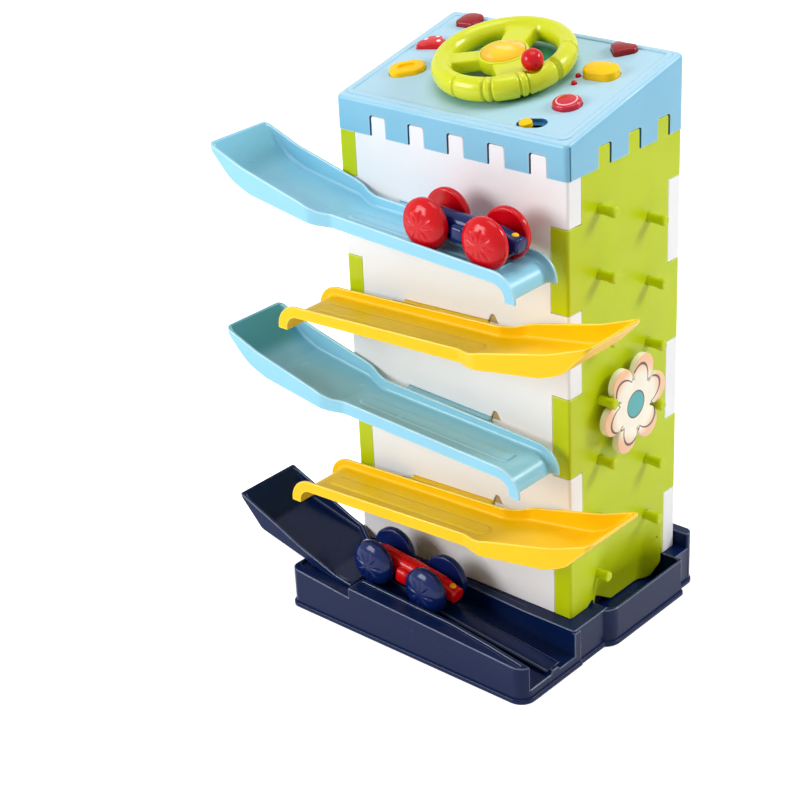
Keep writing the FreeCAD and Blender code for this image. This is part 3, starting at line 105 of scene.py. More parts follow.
def linear(colour, gain=1.0):
    """A colour of 0 to 255 as the linear numbers that a shader takes."""
    out = []
    for value in colour:
        share = value / 255
        part = share / 12.92 if share <= 0.04045 else ((share + 0.055) / 1.055) ** 2.4
        out.append(min(part * gain, 1.0))
    return (*out, 1.0)


def smooth(share):
    share = min(max(share, 0.0), 1.0)
    return share * share * (3 - 2 * share)


class Nodes:
    """Short names for making and joining the nodes of one material."""

    def __init__(self, name):
        self.material = bpy.data.materials.new(name)
        self.material.use_nodes = True
        self.tree = self.material.node_tree
        self.shader = self.tree.nodes["Principled BSDF"]
        self.place = self.add("ShaderNodeTexCoord").outputs["Object"]

    def add(self, kind, **inputs):
        node = self.tree.nodes.new(kind)
        for key, value in inputs.items():
            self.put(node.inputs[key.replace("_", " ")], value)
        return node

    def put(self, socket, value):
        if isinstance(value, bpy.types.NodeSocket):
            self.tree.links.new(value, socket)
        else:
            socket.default_value = value

    def noise(self, scale, detail=3.0, rough=0.55, place=None):
        return self.add("ShaderNodeTexNoise", Vector=place or self.place, Scale=scale, Detail=detail,
                        Roughness=rough).outputs["Fac"]

    def ramp(self, value, low, high, out_low=0.0, out_high=1.0):
        """Maps low to high of a value onto out_low to out_high, smoothly and clamped."""
        node = self.tree.nodes.new("ShaderNodeMapRange")
        node.interpolation_type = "SMOOTHSTEP"
        for index, number in enumerate((value, low, high, out_low, out_high)):
            self.put(node.inputs[index], number)
        return node.outputs["Result"]

    def math(self, kind, first, second=0.0):
        node = self.tree.nodes.new("ShaderNodeMath")
        node.operation = kind
        self.put(node.inputs[0], first)
        self.put(node.inputs[1], second)
        return node.outputs["Value"]

    def mix(self, share, first, second):
        node = self.tree.nodes.new("ShaderNodeMix")
        node.data_type = "RGBA"
        self.put(node.inputs["Factor"], share)
        self.put(node.inputs["A"], first)
        self.put(node.inputs["B"], second)
        return node.outputs["Result"]

    def bump(self, height, depth):
        return self.add("ShaderNodeBump", Height=height, Distance=depth, Strength=1.0).outputs["Normal"]

    def distance(self, centre, stretch=(1, 1, 1)):
        """Distance from a point, with each direction's share of it."""
        offset = self.tree.nodes.new("ShaderNodeVectorMath")
        offset.operation = "SUBTRACT"
        self.put(offset.inputs[0], self.place)
        self.put(offset.inputs[1], tuple(centre))
        scaled = self.tree.nodes.new("ShaderNodeVectorMath")
        scaled.operation = "MULTIPLY"
        self.put(scaled.inputs[0], offset.outputs["Vector"])
        self.put(scaled.inputs[1], stretch)
        length = self.tree.nodes.new("ShaderNodeVectorMath")
        length.operation = "LENGTH"
        self.put(length.inputs[0], scaled.outputs["Vector"])
        return length.outputs["Value"]

    def spot(self, centre, radius, edge=0.0003, stretch=(1, 1, 1)):
        """1 inside a ball round a point, 0 outside."""
        return self.ramp(self.distance(centre, stretch), radius - edge, radius + edge, 1.0, 0.0)


def plastic_body(n, colour, rough, clouds=0.025, grain=0.00001):
    """Moulded plastic: faint flow marks, slightly uneven gloss, fine grain. Returns the colour socket."""
    cloud = n.ramp(n.noise(14.0, 3.0), 0.3, 0.7)
    cloudy = n.mix(cloud, linear(colour, 1 - clouds), linear(colour, 1 + clouds))
    n.put(n.shader.inputs["Roughness"], n.ramp(n.noise(30.0, 3.0), 0.35, 0.7, rough * 0.9, rough * 1.15))
    n.put(n.shader.inputs["Normal"], n.bump(n.noise(1400.0, 2.0), grain))
    return cloudy


def plastic(name, colour, rough=0.3, shine=0.4, **more):
    n = Nodes(name)
    n.put(n.shader.inputs["Base Color"], plastic_body(n, colour, rough, **more))
    n.shader.inputs["Specular IOR Level"].default_value = shine
    return n.material


def marked_plastic(name, colour, rough, shine, marks):
    """Plastic with printed marks, each a function of the nodes that gives a mask, and a colour."""
    n = Nodes(name)
    tone = plastic_body(n, colour, rough)
    for mask, mark_colour in marks:
        tone = n.mix(mask(n), tone, linear(mark_colour))
    n.put(n.shader.inputs["Base Color"], tone)
    n.shader.inputs["Specular IOR Level"].default_value = shine
    return n.material


# Radii between which the painted shade below the steering wheel fades out
WHEEL_SHADE_R = (0.042, 0.061)


def lid_plastic():
    """Blue plastic with a painted sheen that makes its top paler, and painted green shade below the steering
    wheel.
    """
    n = Nodes("lid_blue_plastic")
    side = plastic_body(n, LID_SIDE, 0.36, grain=0.00002)
    facing = n.tree.nodes.new("ShaderNodeVectorMath")
    facing.operation = "DOT_PRODUCT"
    n.put(facing.inputs[0], n.add("ShaderNodeNewGeometry").outputs["Normal"])
    n.put(facing.inputs[1], tuple(OUTWARD))
    # Painted sheen: faces turned up take the paler top colour
    tone = n.mix(n.ramp(facing.outputs["Value"], 0.6, 0.97), side, linear(LID_TOP_SHEEN))
    # Painted shade, green as if lit by the wheel's bounce, below the steering wheel
    shade = n.ramp(n.distance(TOP_MIDDLE), *WHEEL_SHADE_R, 0.9, 0.0)
    n.put(n.shader.inputs["Base Color"], n.mix(shade, tone, linear(LID_SHADE)))
    n.shader.inputs["Specular IOR Level"].default_value = 0.5
    return n.material


# Where the painted shade on the basins' end walls fades in along X, and where it lessens up the tower along Z
END_WALL_X = (-0.14, -0.16)
LOW_RAMP_Z = (0.26, 0.34)


def ramp_plastic():
    """Blue plastic with painted shade, a deeper teal, on the upright end wall of each left basin, stronger on
    the lower ramps.
    """
    n = Nodes("ramp_blue_plastic")
    body = plastic_body(n, RAMP_BLUE, 0.24)
    facing = n.tree.nodes.new("ShaderNodeSeparateXYZ")
    n.put(facing.inputs[0], n.add("ShaderNodeNewGeometry").outputs["Normal"])
    place = n.tree.nodes.new("ShaderNodeSeparateXYZ")
    n.put(place.inputs[0], n.place)
    at_end = n.ramp(place.outputs["X"], *END_WALL_X)
    end_wall_shade = n.math("MULTIPLY", n.ramp(facing.outputs["X"], 0.3, 0.8), at_end)
    low_ramp_shade = n.ramp(place.outputs["Z"], *LOW_RAMP_Z, 0.75, 0.35)
    tone = n.mix(n.math("MULTIPLY", end_wall_shade, low_ramp_shade), body, linear(BASIN_SHADE_TEAL))
    n.put(n.shader.inputs["Base Color"], tone)
    n.shader.inputs["Specular IOR Level"].default_value = 0.4
    return n.material


def edge_highlight_plastic(name, colour, rough=0.2, lift=0.3):
    """The same plastic, paler, as a painted highlight for rounded edges."""
    pale = tuple(value + (255 - value) * lift for value in colour)
    return plastic(name + "_edge", pale, rough, 0.5, clouds=0.06)


def metal(name, colour, rough=0.35):
    n = Nodes(name)
    tone = n.mix(n.ramp(n.noise(300.0), 0.3, 0.7), linear(colour, 0.8), linear(colour, 1.05))
    n.put(n.shader.inputs["Base Color"], tone)
    n.put(n.shader.inputs["Roughness"], n.ramp(n.noise(700.0), 0.3, 0.7, rough * 0.8, rough * 1.3))
    n.put(n.shader.inputs["Normal"], n.bump(n.noise(2500.0), 0.00002))
    n.shader.inputs["Metallic"].default_value = 1.0
    return n.material


navy = plastic("navy_plastic", NAVY, 0.24, 0.14)
white = plastic("white_plastic", WHITE, 0.4, clouds=0.012)
green = plastic("green_plastic", GREEN, 0.38, 0.25)
yellow = plastic("yellow_plastic", YELLOW, 0.34, 0.2)
painted_recess_shade = plastic("recess_blue_plastic", PAINTED_RECESS_SHADE, 0.4)
lime = plastic("lime_plastic", LIME, 0.2)
red = plastic("red_plastic", RED, 0.14, 0.24)
dark_red = plastic("dark_red_plastic", DARK_RED, 0.18, 0.3)
glossy_navy = plastic("glossy_navy_plastic", GLOSSY_NAVY, 0.14, 0.26)
notch_shade = plastic("tan_plastic", NOTCH_SHADE_TAN, 0.5)
steel = metal("screw_steel", STEEL)
board_green = plastic("board_green", BOARD_GREEN, 0.4)
black = plastic("black_plastic", BLACK, 0.5)
cell_jacket = plastic("cell_jacket", CELL_GREEN, 0.3)


def top_point(u, v, height):
    return on_top @ Vector((u * MM, v * MM, height * MM))


def finish_mesh(piece, material, angle=40):
    """Gives a piece its material and smooth shading below an angle between faces."""
    piece.data.materials.append(material)
    piece.data.shade_smooth()
    piece.data.set_sharp_from_angle(angle=math.radians(angle))


def new_piece(name, bm, material, body, angle=40):
    bmesh.ops.recalc_face_normals(bm, faces=bm.faces)
    mesh = bpy.data.meshes.new(name)
    bm.to_mesh(mesh)
    bm.free()
    piece = bpy.data.objects.new(name, mesh)
    bpy.context.scene.collection.objects.link(piece)
    finish_mesh(piece, material, angle)
    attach(piece, body)
    return piece


def stand_in(node, bm, material, angle=40):
    """A new piece that stands for a node and rides on its body."""
    piece = new_piece(node + "_look", bm, material, body_of_node[node], angle)
    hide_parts(node)
    return piece


def clean_copy(node, flat=0.6):
    """The node's surface as one closed mesh of flat faces, ready for its edges to be rounded."""
    bm = bmesh.new()
    bm.from_mesh(nodes[node].data)
    bmesh.ops.remove_doubles(bm, verts=bm.verts, dist=2e-6)
    bmesh.ops.dissolve_limit(
        bm, angle_limit=math.radians(flat), verts=bm.verts, edges=bm.edges, delimit=set())
    return bm


def round_edges(bm, radius, wanted, segments=3, sharp=35, slot=0):
    """Rounds each edge that wanted accepts and whose faces meet at more than sharp degrees."""
    edges = []
    for edge in bm.edges:
        if len(edge.link_faces) == 2 and edge.calc_face_angle(0) > math.radians(sharp) and wanted(edge):
            edges.append(edge)
    made = bmesh.ops.bevel(
        bm, geom=edges, offset=radius, offset_type="OFFSET", segments=segments, profile=0.5,
        affect="EDGES", clamp_overlap=False, harden_normals=False)
    for face in made["faces"]:
        face.material_index = slot


def flat_normals(piece):
    """Keeps the large faces flat in shading, so that only the rounded edges turn."""
    normals = piece.modifiers.new("flat_faces", "WEIGHTED_NORMAL")
    normals.keep_sharp = True


def softened(node, material, edge_highlight_material=None, convex=0.0008, concave=0.0, segments=3, flat=0.6, wide=None):
    """A copy of a node with rounded edges, which stands for it. wide is a larger radius and its test."""
    bm = clean_copy(node, flat)
    for face in bm.faces:
        face.material_index = 0
    if concave:
        round_edges(bm, concave, lambda edge: not edge.is_convex, segments + 1)
    if wide:
        round_edges(bm, wide[0], wide[1], segments + 2)
    if convex:
        # Rounded convex edges take the paler material as a painted highlight
        round_edges(bm, convex, lambda edge: edge.is_convex, segments, slot=1 if edge_highlight_material else 0)
    piece = stand_in(node, bm, material)
    if edge_highlight_material:
        piece.data.materials.append(edge_highlight_material)
    flat_normals(piece)
    return piece


def repaint(piece, material, wanted):
    """Gives a second material to the faces that wanted accepts."""
    piece.data.materials.append(material)
    slot = len(piece.data.materials) - 1
    for face in piece.data.polygons:
        if wanted(face):
            face.material_index = slot


def lathe(bm, profile, matrix, segments=64):
    """Adds a solid of revolution about the matrix's Z axis from radius and height pairs."""
    rings = []
    for radius, height in profile:
        if radius < 1e-7:
            rings.append([bm.verts.new(matrix @ Vector((0, 0, height)))])
            continue
        ring = []
        for k in range(segments):
            angle = 2 * math.pi * k / segments
            place = Vector((radius * math.cos(angle), radius * math.sin(angle), height))
            ring.append(bm.verts.new(matrix @ place))
        rings.append(ring)
    for first, second in zip(rings, rings[1:]):
        for k in range(segments):
            following = (k + 1) % segments
            corners = [first[k % len(first)], first[following % len(first)],
                       second[following % len(second)], second[k % len(second)]]
            bm.faces.new(list(dict.fromkeys(corners)))


def scaled(profile):
    return [(radius * MM, height * MM) for radius, height in profile]


def rounded_block(bm, low, high, matrix, radius, segments=3):
    """Adds a box between two corners, in millimetres, with rounded edges."""
    middle = (Vector(low) + Vector(high)) / 2 * MM
    size = (Vector(high) - Vector(low)) * MM
    place = matrix @ Matrix.Translation(middle) @ Matrix.Diagonal((*size, 1.0))
    made = bmesh.ops.create_cube(bm, size=1.0, matrix=place)
    edges = {edge for vert in made["verts"] for edge in vert.link_edges}
    bmesh.ops.bevel(bm, geom=list(edges), offset=radius * MM, offset_type="OFFSET", segments=segments,
                    profile=0.5, affect="EDGES", clamp_overlap=True)


def remeshed(bm, voxel, steps):
    """One even, smoothed skin round everything in a mesh."""
    mesh = bpy.data.meshes.new("rough")
    bm.to_mesh(mesh)
    bm.free()
    rough = bpy.data.objects.new("rough", mesh)
    bpy.context.scene.collection.objects.link(rough)
    voxels = rough.modifiers.new("voxels", "REMESH")
    voxels.mode = "VOXEL"
    voxels.voxel_size = voxel
    relax = rough.modifiers.new("relax", "SMOOTH")
    relax.factor = 0.5
    relax.iterations = steps
    ready = rough.evaluated_get(bpy.context.evaluated_depsgraph_get())
    skin = bpy.data.meshes.new_from_object(ready)
    out = bmesh.new()
    out.from_mesh(skin)
    bpy.data.objects.remove(rough)
    bpy.data.meshes.remove(mesh)
    bpy.data.meshes.remove(skin)
    return out


# Walls, base, lid and ramps

ramp_blue = ramp_plastic()
# Paler copies of the plastics, painted highlights for rounded edges and ridges
navy_edge_highlight = edge_highlight_plastic("navy_plastic", NAVY, 0.2, 0.22)
ramp_edge_highlight = edge_highlight_plastic("ramp_blue_plastic", RAMP_BLUE)
yellow_edge_highlight = edge_highlight_plastic("yellow_plastic", YELLOW, 0.2, 0.25)
green_edge_highlight = edge_highlight_plastic("green_plastic", GREEN, 0.3, 0.2)

NOTCH_X = (0.035, 0.0465)
NOTCH_Y = (-0.0747, -0.0732)


def in_notch(face):
    """The floors of the small notches beside the ramps' slots."""
    inside_x = NOTCH_X[0] < face.center.x < NOTCH_X[1]
    inside_y = NOTCH_Y[0] < face.center.y < NOTCH_Y[1]
    return inside_x and inside_y and face.normal.y < -0.5


front_wall = softened("front_panel", white)
# Painted shade: the notch floors take a dark tan
repaint(front_wall, notch_shade, in_notch)
softened("back_panel", white)
softened("right_panel", green, green_edge_highlight, flat=0.02)
softened("left_panel", green, green_edge_highlight)
OUTER_EDGE_R = 0.0009
INNER_EDGE_R = 0.003
softened("base_shell", navy, navy_edge_highlight, OUTER_EDGE_R)
for chute, body_plastic, rim_plastic in (
        ("ramp_1_blue", ramp_blue, ramp_edge_highlight),
        ("ramp_3_blue", ramp_blue, ramp_edge_highlight),
        ("ramp_2_yellow", yellow, yellow_edge_highlight),
        ("ramp_4_yellow", yellow, yellow_edge_highlight),
        ("landing_ramp", navy, navy_edge_highlight)):
    softened(chute, body_plastic, rim_plastic, OUTER_EDGE_R, INNER_EDGE_R)

SLIDER_MIDDLE = (69.0, -59.0)
SLIDER_REACH = 13.0


def in_slider_recess(face):
    local = on_top.inverted() @ face.center
    away = math.hypot(local.x / MM - SLIDER_MIDDLE[0], local.y / MM - SLIDER_MIDDLE[1])
    return away < SLIDER_REACH and local.z < -0.3 * MM


LID_HALF_ACROSS = 116.0
LID_HALF_UPHILL = 77.9
LID_HALF_DEEP = 76.0
LID_EDGE_REACH = 5.2
TOOTH_TOP_Z = 446
FRONT_TEETH_Y = -72
SIDE_TEETH_X = 112
SIDE_TEETH_HALF_Y = 70


def on_lid_outside(edge):
    """An edge of the lid's top that runs along its outline. The upright corners aren't taken."""
    for vert in edge.verts:
        end = vert.co / MM
        at_side = abs(end.x) > LID_HALF_ACROSS - LID_EDGE_REACH
        at_end = abs(end.y) > LID_HALF_DEEP - LID_EDGE_REACH
        on_face = (on_top.inverted() @ vert.co).z > -0.2 * MM
        if not on_face or not (at_side or at_end):
            return False
    return edge.is_convex


def in_tooth_side(face):
    """The sides of the lid's teeth, which stand in the walls' gaps."""
    place = face.center / MM
    if place.z > TOOTH_TOP_Z:
        return False
    front_gap = abs(face.normal.x) > 0.9 and place.y < FRONT_TEETH_Y
    side_gap = abs(face.normal.y) > 0.9 and place.x > SIDE_TEETH_X and abs(place.y) < SIDE_TEETH_HALF_Y
    return front_gap or side_gap


lid_blue = lid_plastic()
# Paler lid blue as a painted highlight on the lid's rounded edges
lid_edge_highlight = edge_highlight_plastic("lid_blue_plastic", LID_SIDE, 0.25, 0.4)
lid_cover = softened("console_shell", lid_blue, lid_edge_highlight, 0.0006, wide=(0.0022, on_lid_outside))
# Painted shade: the slider's recess and the sides of the lid's teeth take a darker blue
repaint(lid_cover, painted_recess_shade, lambda face: in_slider_recess(face) or in_tooth_side(face))

BEAD_IN = 7.5
BEAD_HALF_W = 3.0
BEAD_H = 1.3
BEAD_CORNER_R = 5.0
BEAD_SUNK = 0.1
BEAD_STEPS = 8


def lid_bead():
    """Low rounded rim that follows the four edges of the lid's top."""
    half_u = LID_HALF_ACROSS - BEAD_IN
    half_v = LID_HALF_UPHILL - BEAD_IN
    path = []
    for side_u, side_v, start in ((1, 1, 0), (-1, 1, 90), (-1, -1, 180), (1, -1, 270)):
        for step in range(BEAD_STEPS + 1):
            angle = math.radians(start + 90 * step / BEAD_STEPS)
            outward = Vector((math.cos(angle), math.sin(angle), 0))
            centre = Vector((side_u * (half_u - BEAD_CORNER_R), side_v * (half_v - BEAD_CORNER_R), 0))
            path.append((centre + outward * BEAD_CORNER_R, outward))
    bm = bmesh.new()
    rings = []
    for point, outward in path:
        ring = []
        for step in range(BEAD_STEPS + 1):
            angle = math.pi * step / BEAD_STEPS
            place = point + outward * BEAD_HALF_W * math.cos(angle)
            lift = Vector((0, 0, BEAD_H * math.sin(angle) - BEAD_SUNK))
            ring.append(bm.verts.new(on_top @ ((place + lift) * MM)))
        rings.append(ring)
    for first, second in zip(rings, rings[1:] + rings[:1]):
        for k in range(BEAD_STEPS + 1):
            following = (k + 1) % (BEAD_STEPS + 1)
            bm.faces.new((first[k], first[following], second[following], second[k]))
    new_piece("lid_bead", bm, lid_blue, body_of_node["console_shell"], 50)


lid_bead()

RIDGE_H = 1.2
RIDGE_LAYERS = ((-0.4, 0.0), (0.25, 1.0), (0.75, 2.4), (1.0, 4.2))
RIDGE_STEPS = 12
MIRROR_SHIFT = -12.5
BLUE_RIDGE_X = (-74, 84)
YELLOW_RIDGE_X = (MIRROR_SHIFT + 74, MIRROR_SHIFT - 97)
CHUTE_RIDGE_Y = (-120, -103)
BASE_RIDGE_X = (-30, 126)
BASE_RIDGE_Y = (-124, -105)


def floor_ridge(node, ends_x, sides_y, material, edge_highlight_material):
    """Low rib along a chute's floor, between a car's wheels; its rounded end is the first of ends_x."""
    start_x, end_x = ends_x
    low_y, high_y = sides_y
    faces = [face.vertices for face in nodes[node].data.polygons]
    tree = BVHTree.FromPolygons([vertex.co for vertex in nodes[node].data.vertices], faces)
    top_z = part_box(node)[1][2] + 0.05
    half_w = (high_y - low_y) / 2
    middle_y = (low_y + high_y) / 2
    towards = 1 if end_x > start_x else -1
    turn_x = start_x + towards * half_w

    def floor_z(x):
        return tree.ray_cast(Vector((x * MM, middle_y * MM, top_z)), Vector((0, 0, -1)))[0].z / MM

    near_z = floor_z(turn_x)
    far_z = floor_z(end_x)
    bm = bmesh.new()
    layers = []
    for lift, inset in RIDGE_LAYERS:
        reach = half_w - inset
        outline = []
        for step in range(RIDGE_STEPS + 1):
            angle = math.pi / 2 + math.pi * step / RIDGE_STEPS
            outline.append((turn_x + towards * reach * math.cos(angle), middle_y + reach * math.sin(angle)))
        outline += [(end_x, middle_y - reach), (end_x, middle_y + reach)]
        ring = []
        for x, y in outline:
            z = near_z + (far_z - near_z) * (x - turn_x) / (end_x - turn_x)
            ring.append(bm.verts.new(Vector((x, y, z + lift * RIDGE_H)) * MM))
        layers.append(ring)
    count = len(layers[0])
    for level, (low_ring, high_ring) in enumerate(zip(layers, layers[1:])):
        for k in range(count):
            following = (k + 1) % count
            face = bm.faces.new((low_ring[k], low_ring[following], high_ring[following], high_ring[k]))
            # The middle band of the ridge's sides takes the paler material, a painted highlight line
            face.material_index = 1 if level == 1 else 0
    bm.faces.new(layers[0])
    bm.faces.new(layers[-1])
    piece = new_piece(node + "_ridge", bm, material, body_of_node[node], 50)
    piece.data.materials.append(edge_highlight_material)


for chute in ("ramp_1_blue", "ramp_3_blue"):
    floor_ridge(chute, BLUE_RIDGE_X, CHUTE_RIDGE_Y, ramp_blue, ramp_edge_highlight)
for chute in ("ramp_2_yellow", "ramp_4_yellow"):
    floor_ridge(chute, YELLOW_RIDGE_X, CHUTE_RIDGE_Y, yellow, yellow_edge_highlight)
floor_ridge("base_shell", BASE_RIDGE_X, BASE_RIDGE_Y, navy, navy_edge_highlight)


# Steering wheel

RIM_R = 50.4
RIM_HALF_W = 8.2
RIM_HALF_H = 10.1
RIM_MIDDLE_Z = 12.6
RIM_STEPS = 128
TUBE_STEPS = 28
HUB_R = 20.5
HUB_TOP = 19.0
KNOB_PLACE = Vector((44.0, -20.0, 26.0))
KNOB_R = 8.8
KNOB_GAP = 0.5
GROOVES = (-97.0, -69.5, -62.5, -39.5, -32.5, -5.5, -2.5, 30.0)
GROOVE_REACH = 1.76
GROOVE_DEPTH = 1.8
WEBS = ((212.0, 9.0, 10.0), (107.0, 11.0, 15.0), (-32.0, 17.0, 24.0))
WEB_LOW_Z = 7.0
WEB_HIGH_Z = 18.0
WEB_TAPER = 0.85
SKIN_VOXEL = 0.85


def steering_wheel():
    bm = bmesh.new()
    rings = []
    for step in range(RIM_STEPS):
        turn = 2 * math.pi * step / RIM_STEPS
        ring = []
        for k in range(TUBE_STEPS):
            angle = 2 * math.pi * k / TUBE_STEPS
            radius = RIM_R + RIM_HALF_W * math.cos(angle)
            height = RIM_MIDDLE_Z + RIM_HALF_H * math.sin(angle)
            ring.append(bm.verts.new(Vector((radius * math.cos(turn), radius * math.sin(turn), height)) * MM))
        rings.append(ring)
    for first, second in zip(rings, rings[1:] + rings[:1]):
        for k in range(TUBE_STEPS):
            following = (k + 1) % TUBE_STEPS
            bm.faces.new((first[k], second[k], second[following], first[following]))
    for degrees, half_in, half_out in WEBS:
        spin = Matrix.Rotation(math.radians(degrees), 4, "Z")
        corners = []
        for x, half in ((HUB_R - 8, half_in), (RIM_R - 2, half_out)):
            top_half = half * WEB_TAPER
            for y, z in (
                    (-half, WEB_LOW_Z), (half, WEB_LOW_Z), (top_half, WEB_HIGH_Z), (-top_half, WEB_HIGH_Z)):
                corners.append(bm.verts.new(spin @ (Vector((x, y, z)) * MM)))
        near = corners[:4]
        far = corners[4:]
        bm.faces.new(near)
        bm.faces.new(far[::-1])
        for k in range(4):
            following = (k + 1) % 4
            bm.faces.new((near[k], far[k], far[following], near[following]))
    lathe(bm, scaled([
        (0, -4.6), (6, -4.6), (6, 7), (HUB_R - 2.5, 7), (HUB_R - 1, 9), (HUB_R - 1, 15), (0, 15),
    ]), Matrix.Identity(4))
    bmesh.ops.recalc_face_normals(bm, faces=bm.faces)
    bm = remeshed(bm, SKIN_VOXEL * MM, 22)
    for vert in bm.verts:
        place = vert.co / MM
        radius = math.hypot(place.x, place.y)
        if radius > RIM_R - RIM_HALF_W:
            turn = math.degrees(math.atan2(place.y, place.x))
            core = Vector((place.x / radius * RIM_R, place.y / radius * RIM_R, RIM_MIDDLE_Z))
            away = place - core
            facing = smooth((radius - RIM_R + 5.0) / 3.0)
            for groove in GROOVES:
                gap = abs((turn - groove + 180) % 360 - 180)
                off = math.radians(gap) * radius
                if off < GROOVE_REACH:
                    dent = GROOVE_DEPTH * facing * (1 - smooth(off / GROOVE_REACH))
                    place = place - away.normalized() * dent
        knob_gap = place - KNOB_PLACE
        if knob_gap.length < KNOB_R + KNOB_GAP:
            place = KNOB_PLACE + knob_gap.normalized() * (KNOB_R + KNOB_GAP)
        vert.co = on_top @ (place * MM)
    lathe(bm, scaled([
        (0, 7.0), (HUB_R - 1.6, 7.0), (HUB_R - 0.4, 7.6), (HUB_R, 9.0), (HUB_R, 17.8), (HUB_R - 0.3, 18.6),
        (HUB_R - 1.0, HUB_TOP), (18.6, HUB_TOP), (18.1, 18.7), (17.95, 18.2), (17.95, 14.0), (0, 14.0),
    ]), on_top, 96)
    stand_in("steering_wheel", bm, lime, 45)


steering_wheel()


def amber_disc():
    n = Nodes("amber_disc")
    middle = top_point(0, 0, HUB_TOP)
    tone = n.mix(n.ramp(n.distance(middle), 0.004, 0.018), linear(DISC_YELLOW), linear(AMBER))
    # Painted highlight: a pale swirl across the disc
    swirl = n.add("ShaderNodeMapping", Vector=n.place, Scale=(1.0, 2.4, 2.4), Rotation=(0.0, 0.0, 0.5))
    swirl_highlight = n.ramp(n.noise(70.0, 2.0, 0.4, swirl.outputs["Vector"]), 0.54, 0.68, 0.0, 0.35)
    n.put(n.shader.inputs["Base Color"], n.mix(swirl_highlight, tone, linear(DISC_SWIRL_HIGHLIGHT)))
    n.put(n.shader.inputs["Roughness"], n.ramp(n.noise(60.0), 0.3, 0.7, 0.16, 0.24))
    n.shader.inputs["Specular IOR Level"].default_value = 0.25
    return n.material


DISC_R = 16.0
DISC_EDGE_Z = 19.8
DISC_RISE = 1.2
DISC_STEPS = 12


def horn_button():
    bm = bmesh.new()
    profile = [(0, 13.8), (17.2, 13.8), (17.6, 14.4), (17.6, 18.6), (17.4, 19.2), (16.8, 19.6)]
    profile.append((DISC_R, DISC_EDGE_Z))
    for step in range(1, DISC_STEPS + 1):
        radius = DISC_R * (1 - step / DISC_STEPS)
        profile.append((radius, DISC_EDGE_Z + DISC_RISE * (1 - (radius / DISC_R) ** 2)))
    lathe(bm, scaled(profile), on_top, 96)
    stand_in("horn_button", bm, amber_disc(), 45)


horn_button()


# Buttons on the lid


BUTTON_VOXEL = 0.5


def domed_button(node, material, rise):
    """A button with its edges melted round and its top raised in the middle."""
    bm = bmesh.new()
    bm.from_mesh(nodes[node].data)
    bmesh.ops.remove_doubles(bm, verts=bm.verts, dist=2e-6)
    bm = remeshed(bm, BUTTON_VOXEL * MM, 4)
    inverse = on_top.inverted()
    places = [inverse @ vert.co for vert in bm.verts]
    top = max(place.z for place in places)
    shown = [place for place in places if place.z > 0.5 * MM]
    middle = [(min(p[i] for p in shown) + max(p[i] for p in shown)) / 2 for i in (0, 1)]
    reach = [(max(p[i] for p in shown) - min(p[i] for p in shown)) / 2 for i in (0, 1)]
    for vert, place in zip(bm.verts, places):
        lift = smooth((place.z - 0.4 * top) / (0.6 * top))
        away = math.hypot((place.x - middle[0]) / reach[0], (place.y - middle[1]) / reach[1])
        place.z += lift * rise * MM * max(0.0, 1 - away * away)
        vert.co = on_top @ place
    stand_in(node, bm, material, 60)


def dots(places, radius):
    """Mask function: small round dots at places on the lid."""
    def mask(n):
        total = None
        for u, v in places:
            spot = n.spot(top_point(u, v, 5.0), radius * MM, 0.0002, (1, 1, 0.45))
            total = spot if total is None else n.math("MAXIMUM", total, spot)
        return total
    return mask


def band(place, inner, outer):
    """Mask function: a ring round a place on the lid."""
    def mask(n):
        away = n.distance(top_point(*place, 4.0), (1, 1, 0.3))
        inside = n.ramp(away, (inner - 0.3) * MM, (inner + 0.3) * MM)
        outside = n.ramp(away, (outer - 0.3) * MM, (outer + 0.3) * MM, 1.0, 0.0)
        return n.math("MULTIPLY", inside, outside)
    return mask


DOT_PLACES = ((-97.0, 17.5), (-90.0, 24.5), (-84.0, 18.0))
DOT_R = 1.7
OVAL_PLACE = (78.5, -26.5)
OVAL_RING_R = (7.6, 8.6)
spotted_red = marked_plastic("spotted_red", RED, 0.16, 0.4, [(dots(DOT_PLACES, DOT_R), DOT_WHITE)])
oval_ring = band(OVAL_PLACE, *OVAL_RING_R)
ringed_red = marked_plastic("ringed_red", RINGED_RED, 0.18, 0.4, [(oval_ring, RING_PINK)])
for button, paint, rise in (
        ("button_arch", dark_red, 1.4),
        ("button_heart", dark_red, 1.4),
        ("button_car", spotted_red, 1.6),
        ("button_oval", ringed_red, 1.3),
        ("button_bar", yellow, 1.6),
        ("button_ring", yellow, 0.6)):
    domed_button(button, paint, rise)


# Flower on the peg wall

FLOWER_TURN = 0.26
PETAL_WAVE = 0.0135
PETAL_LEAST_R = 0.0255
TIP_R = (0.024, 0.036)
DISC_LINE_R = (0.0118, 0.0122)
DISC_TEAL_R = (0.0106, 0.0110)
PRINT_X = (0.0022, 0.0026)


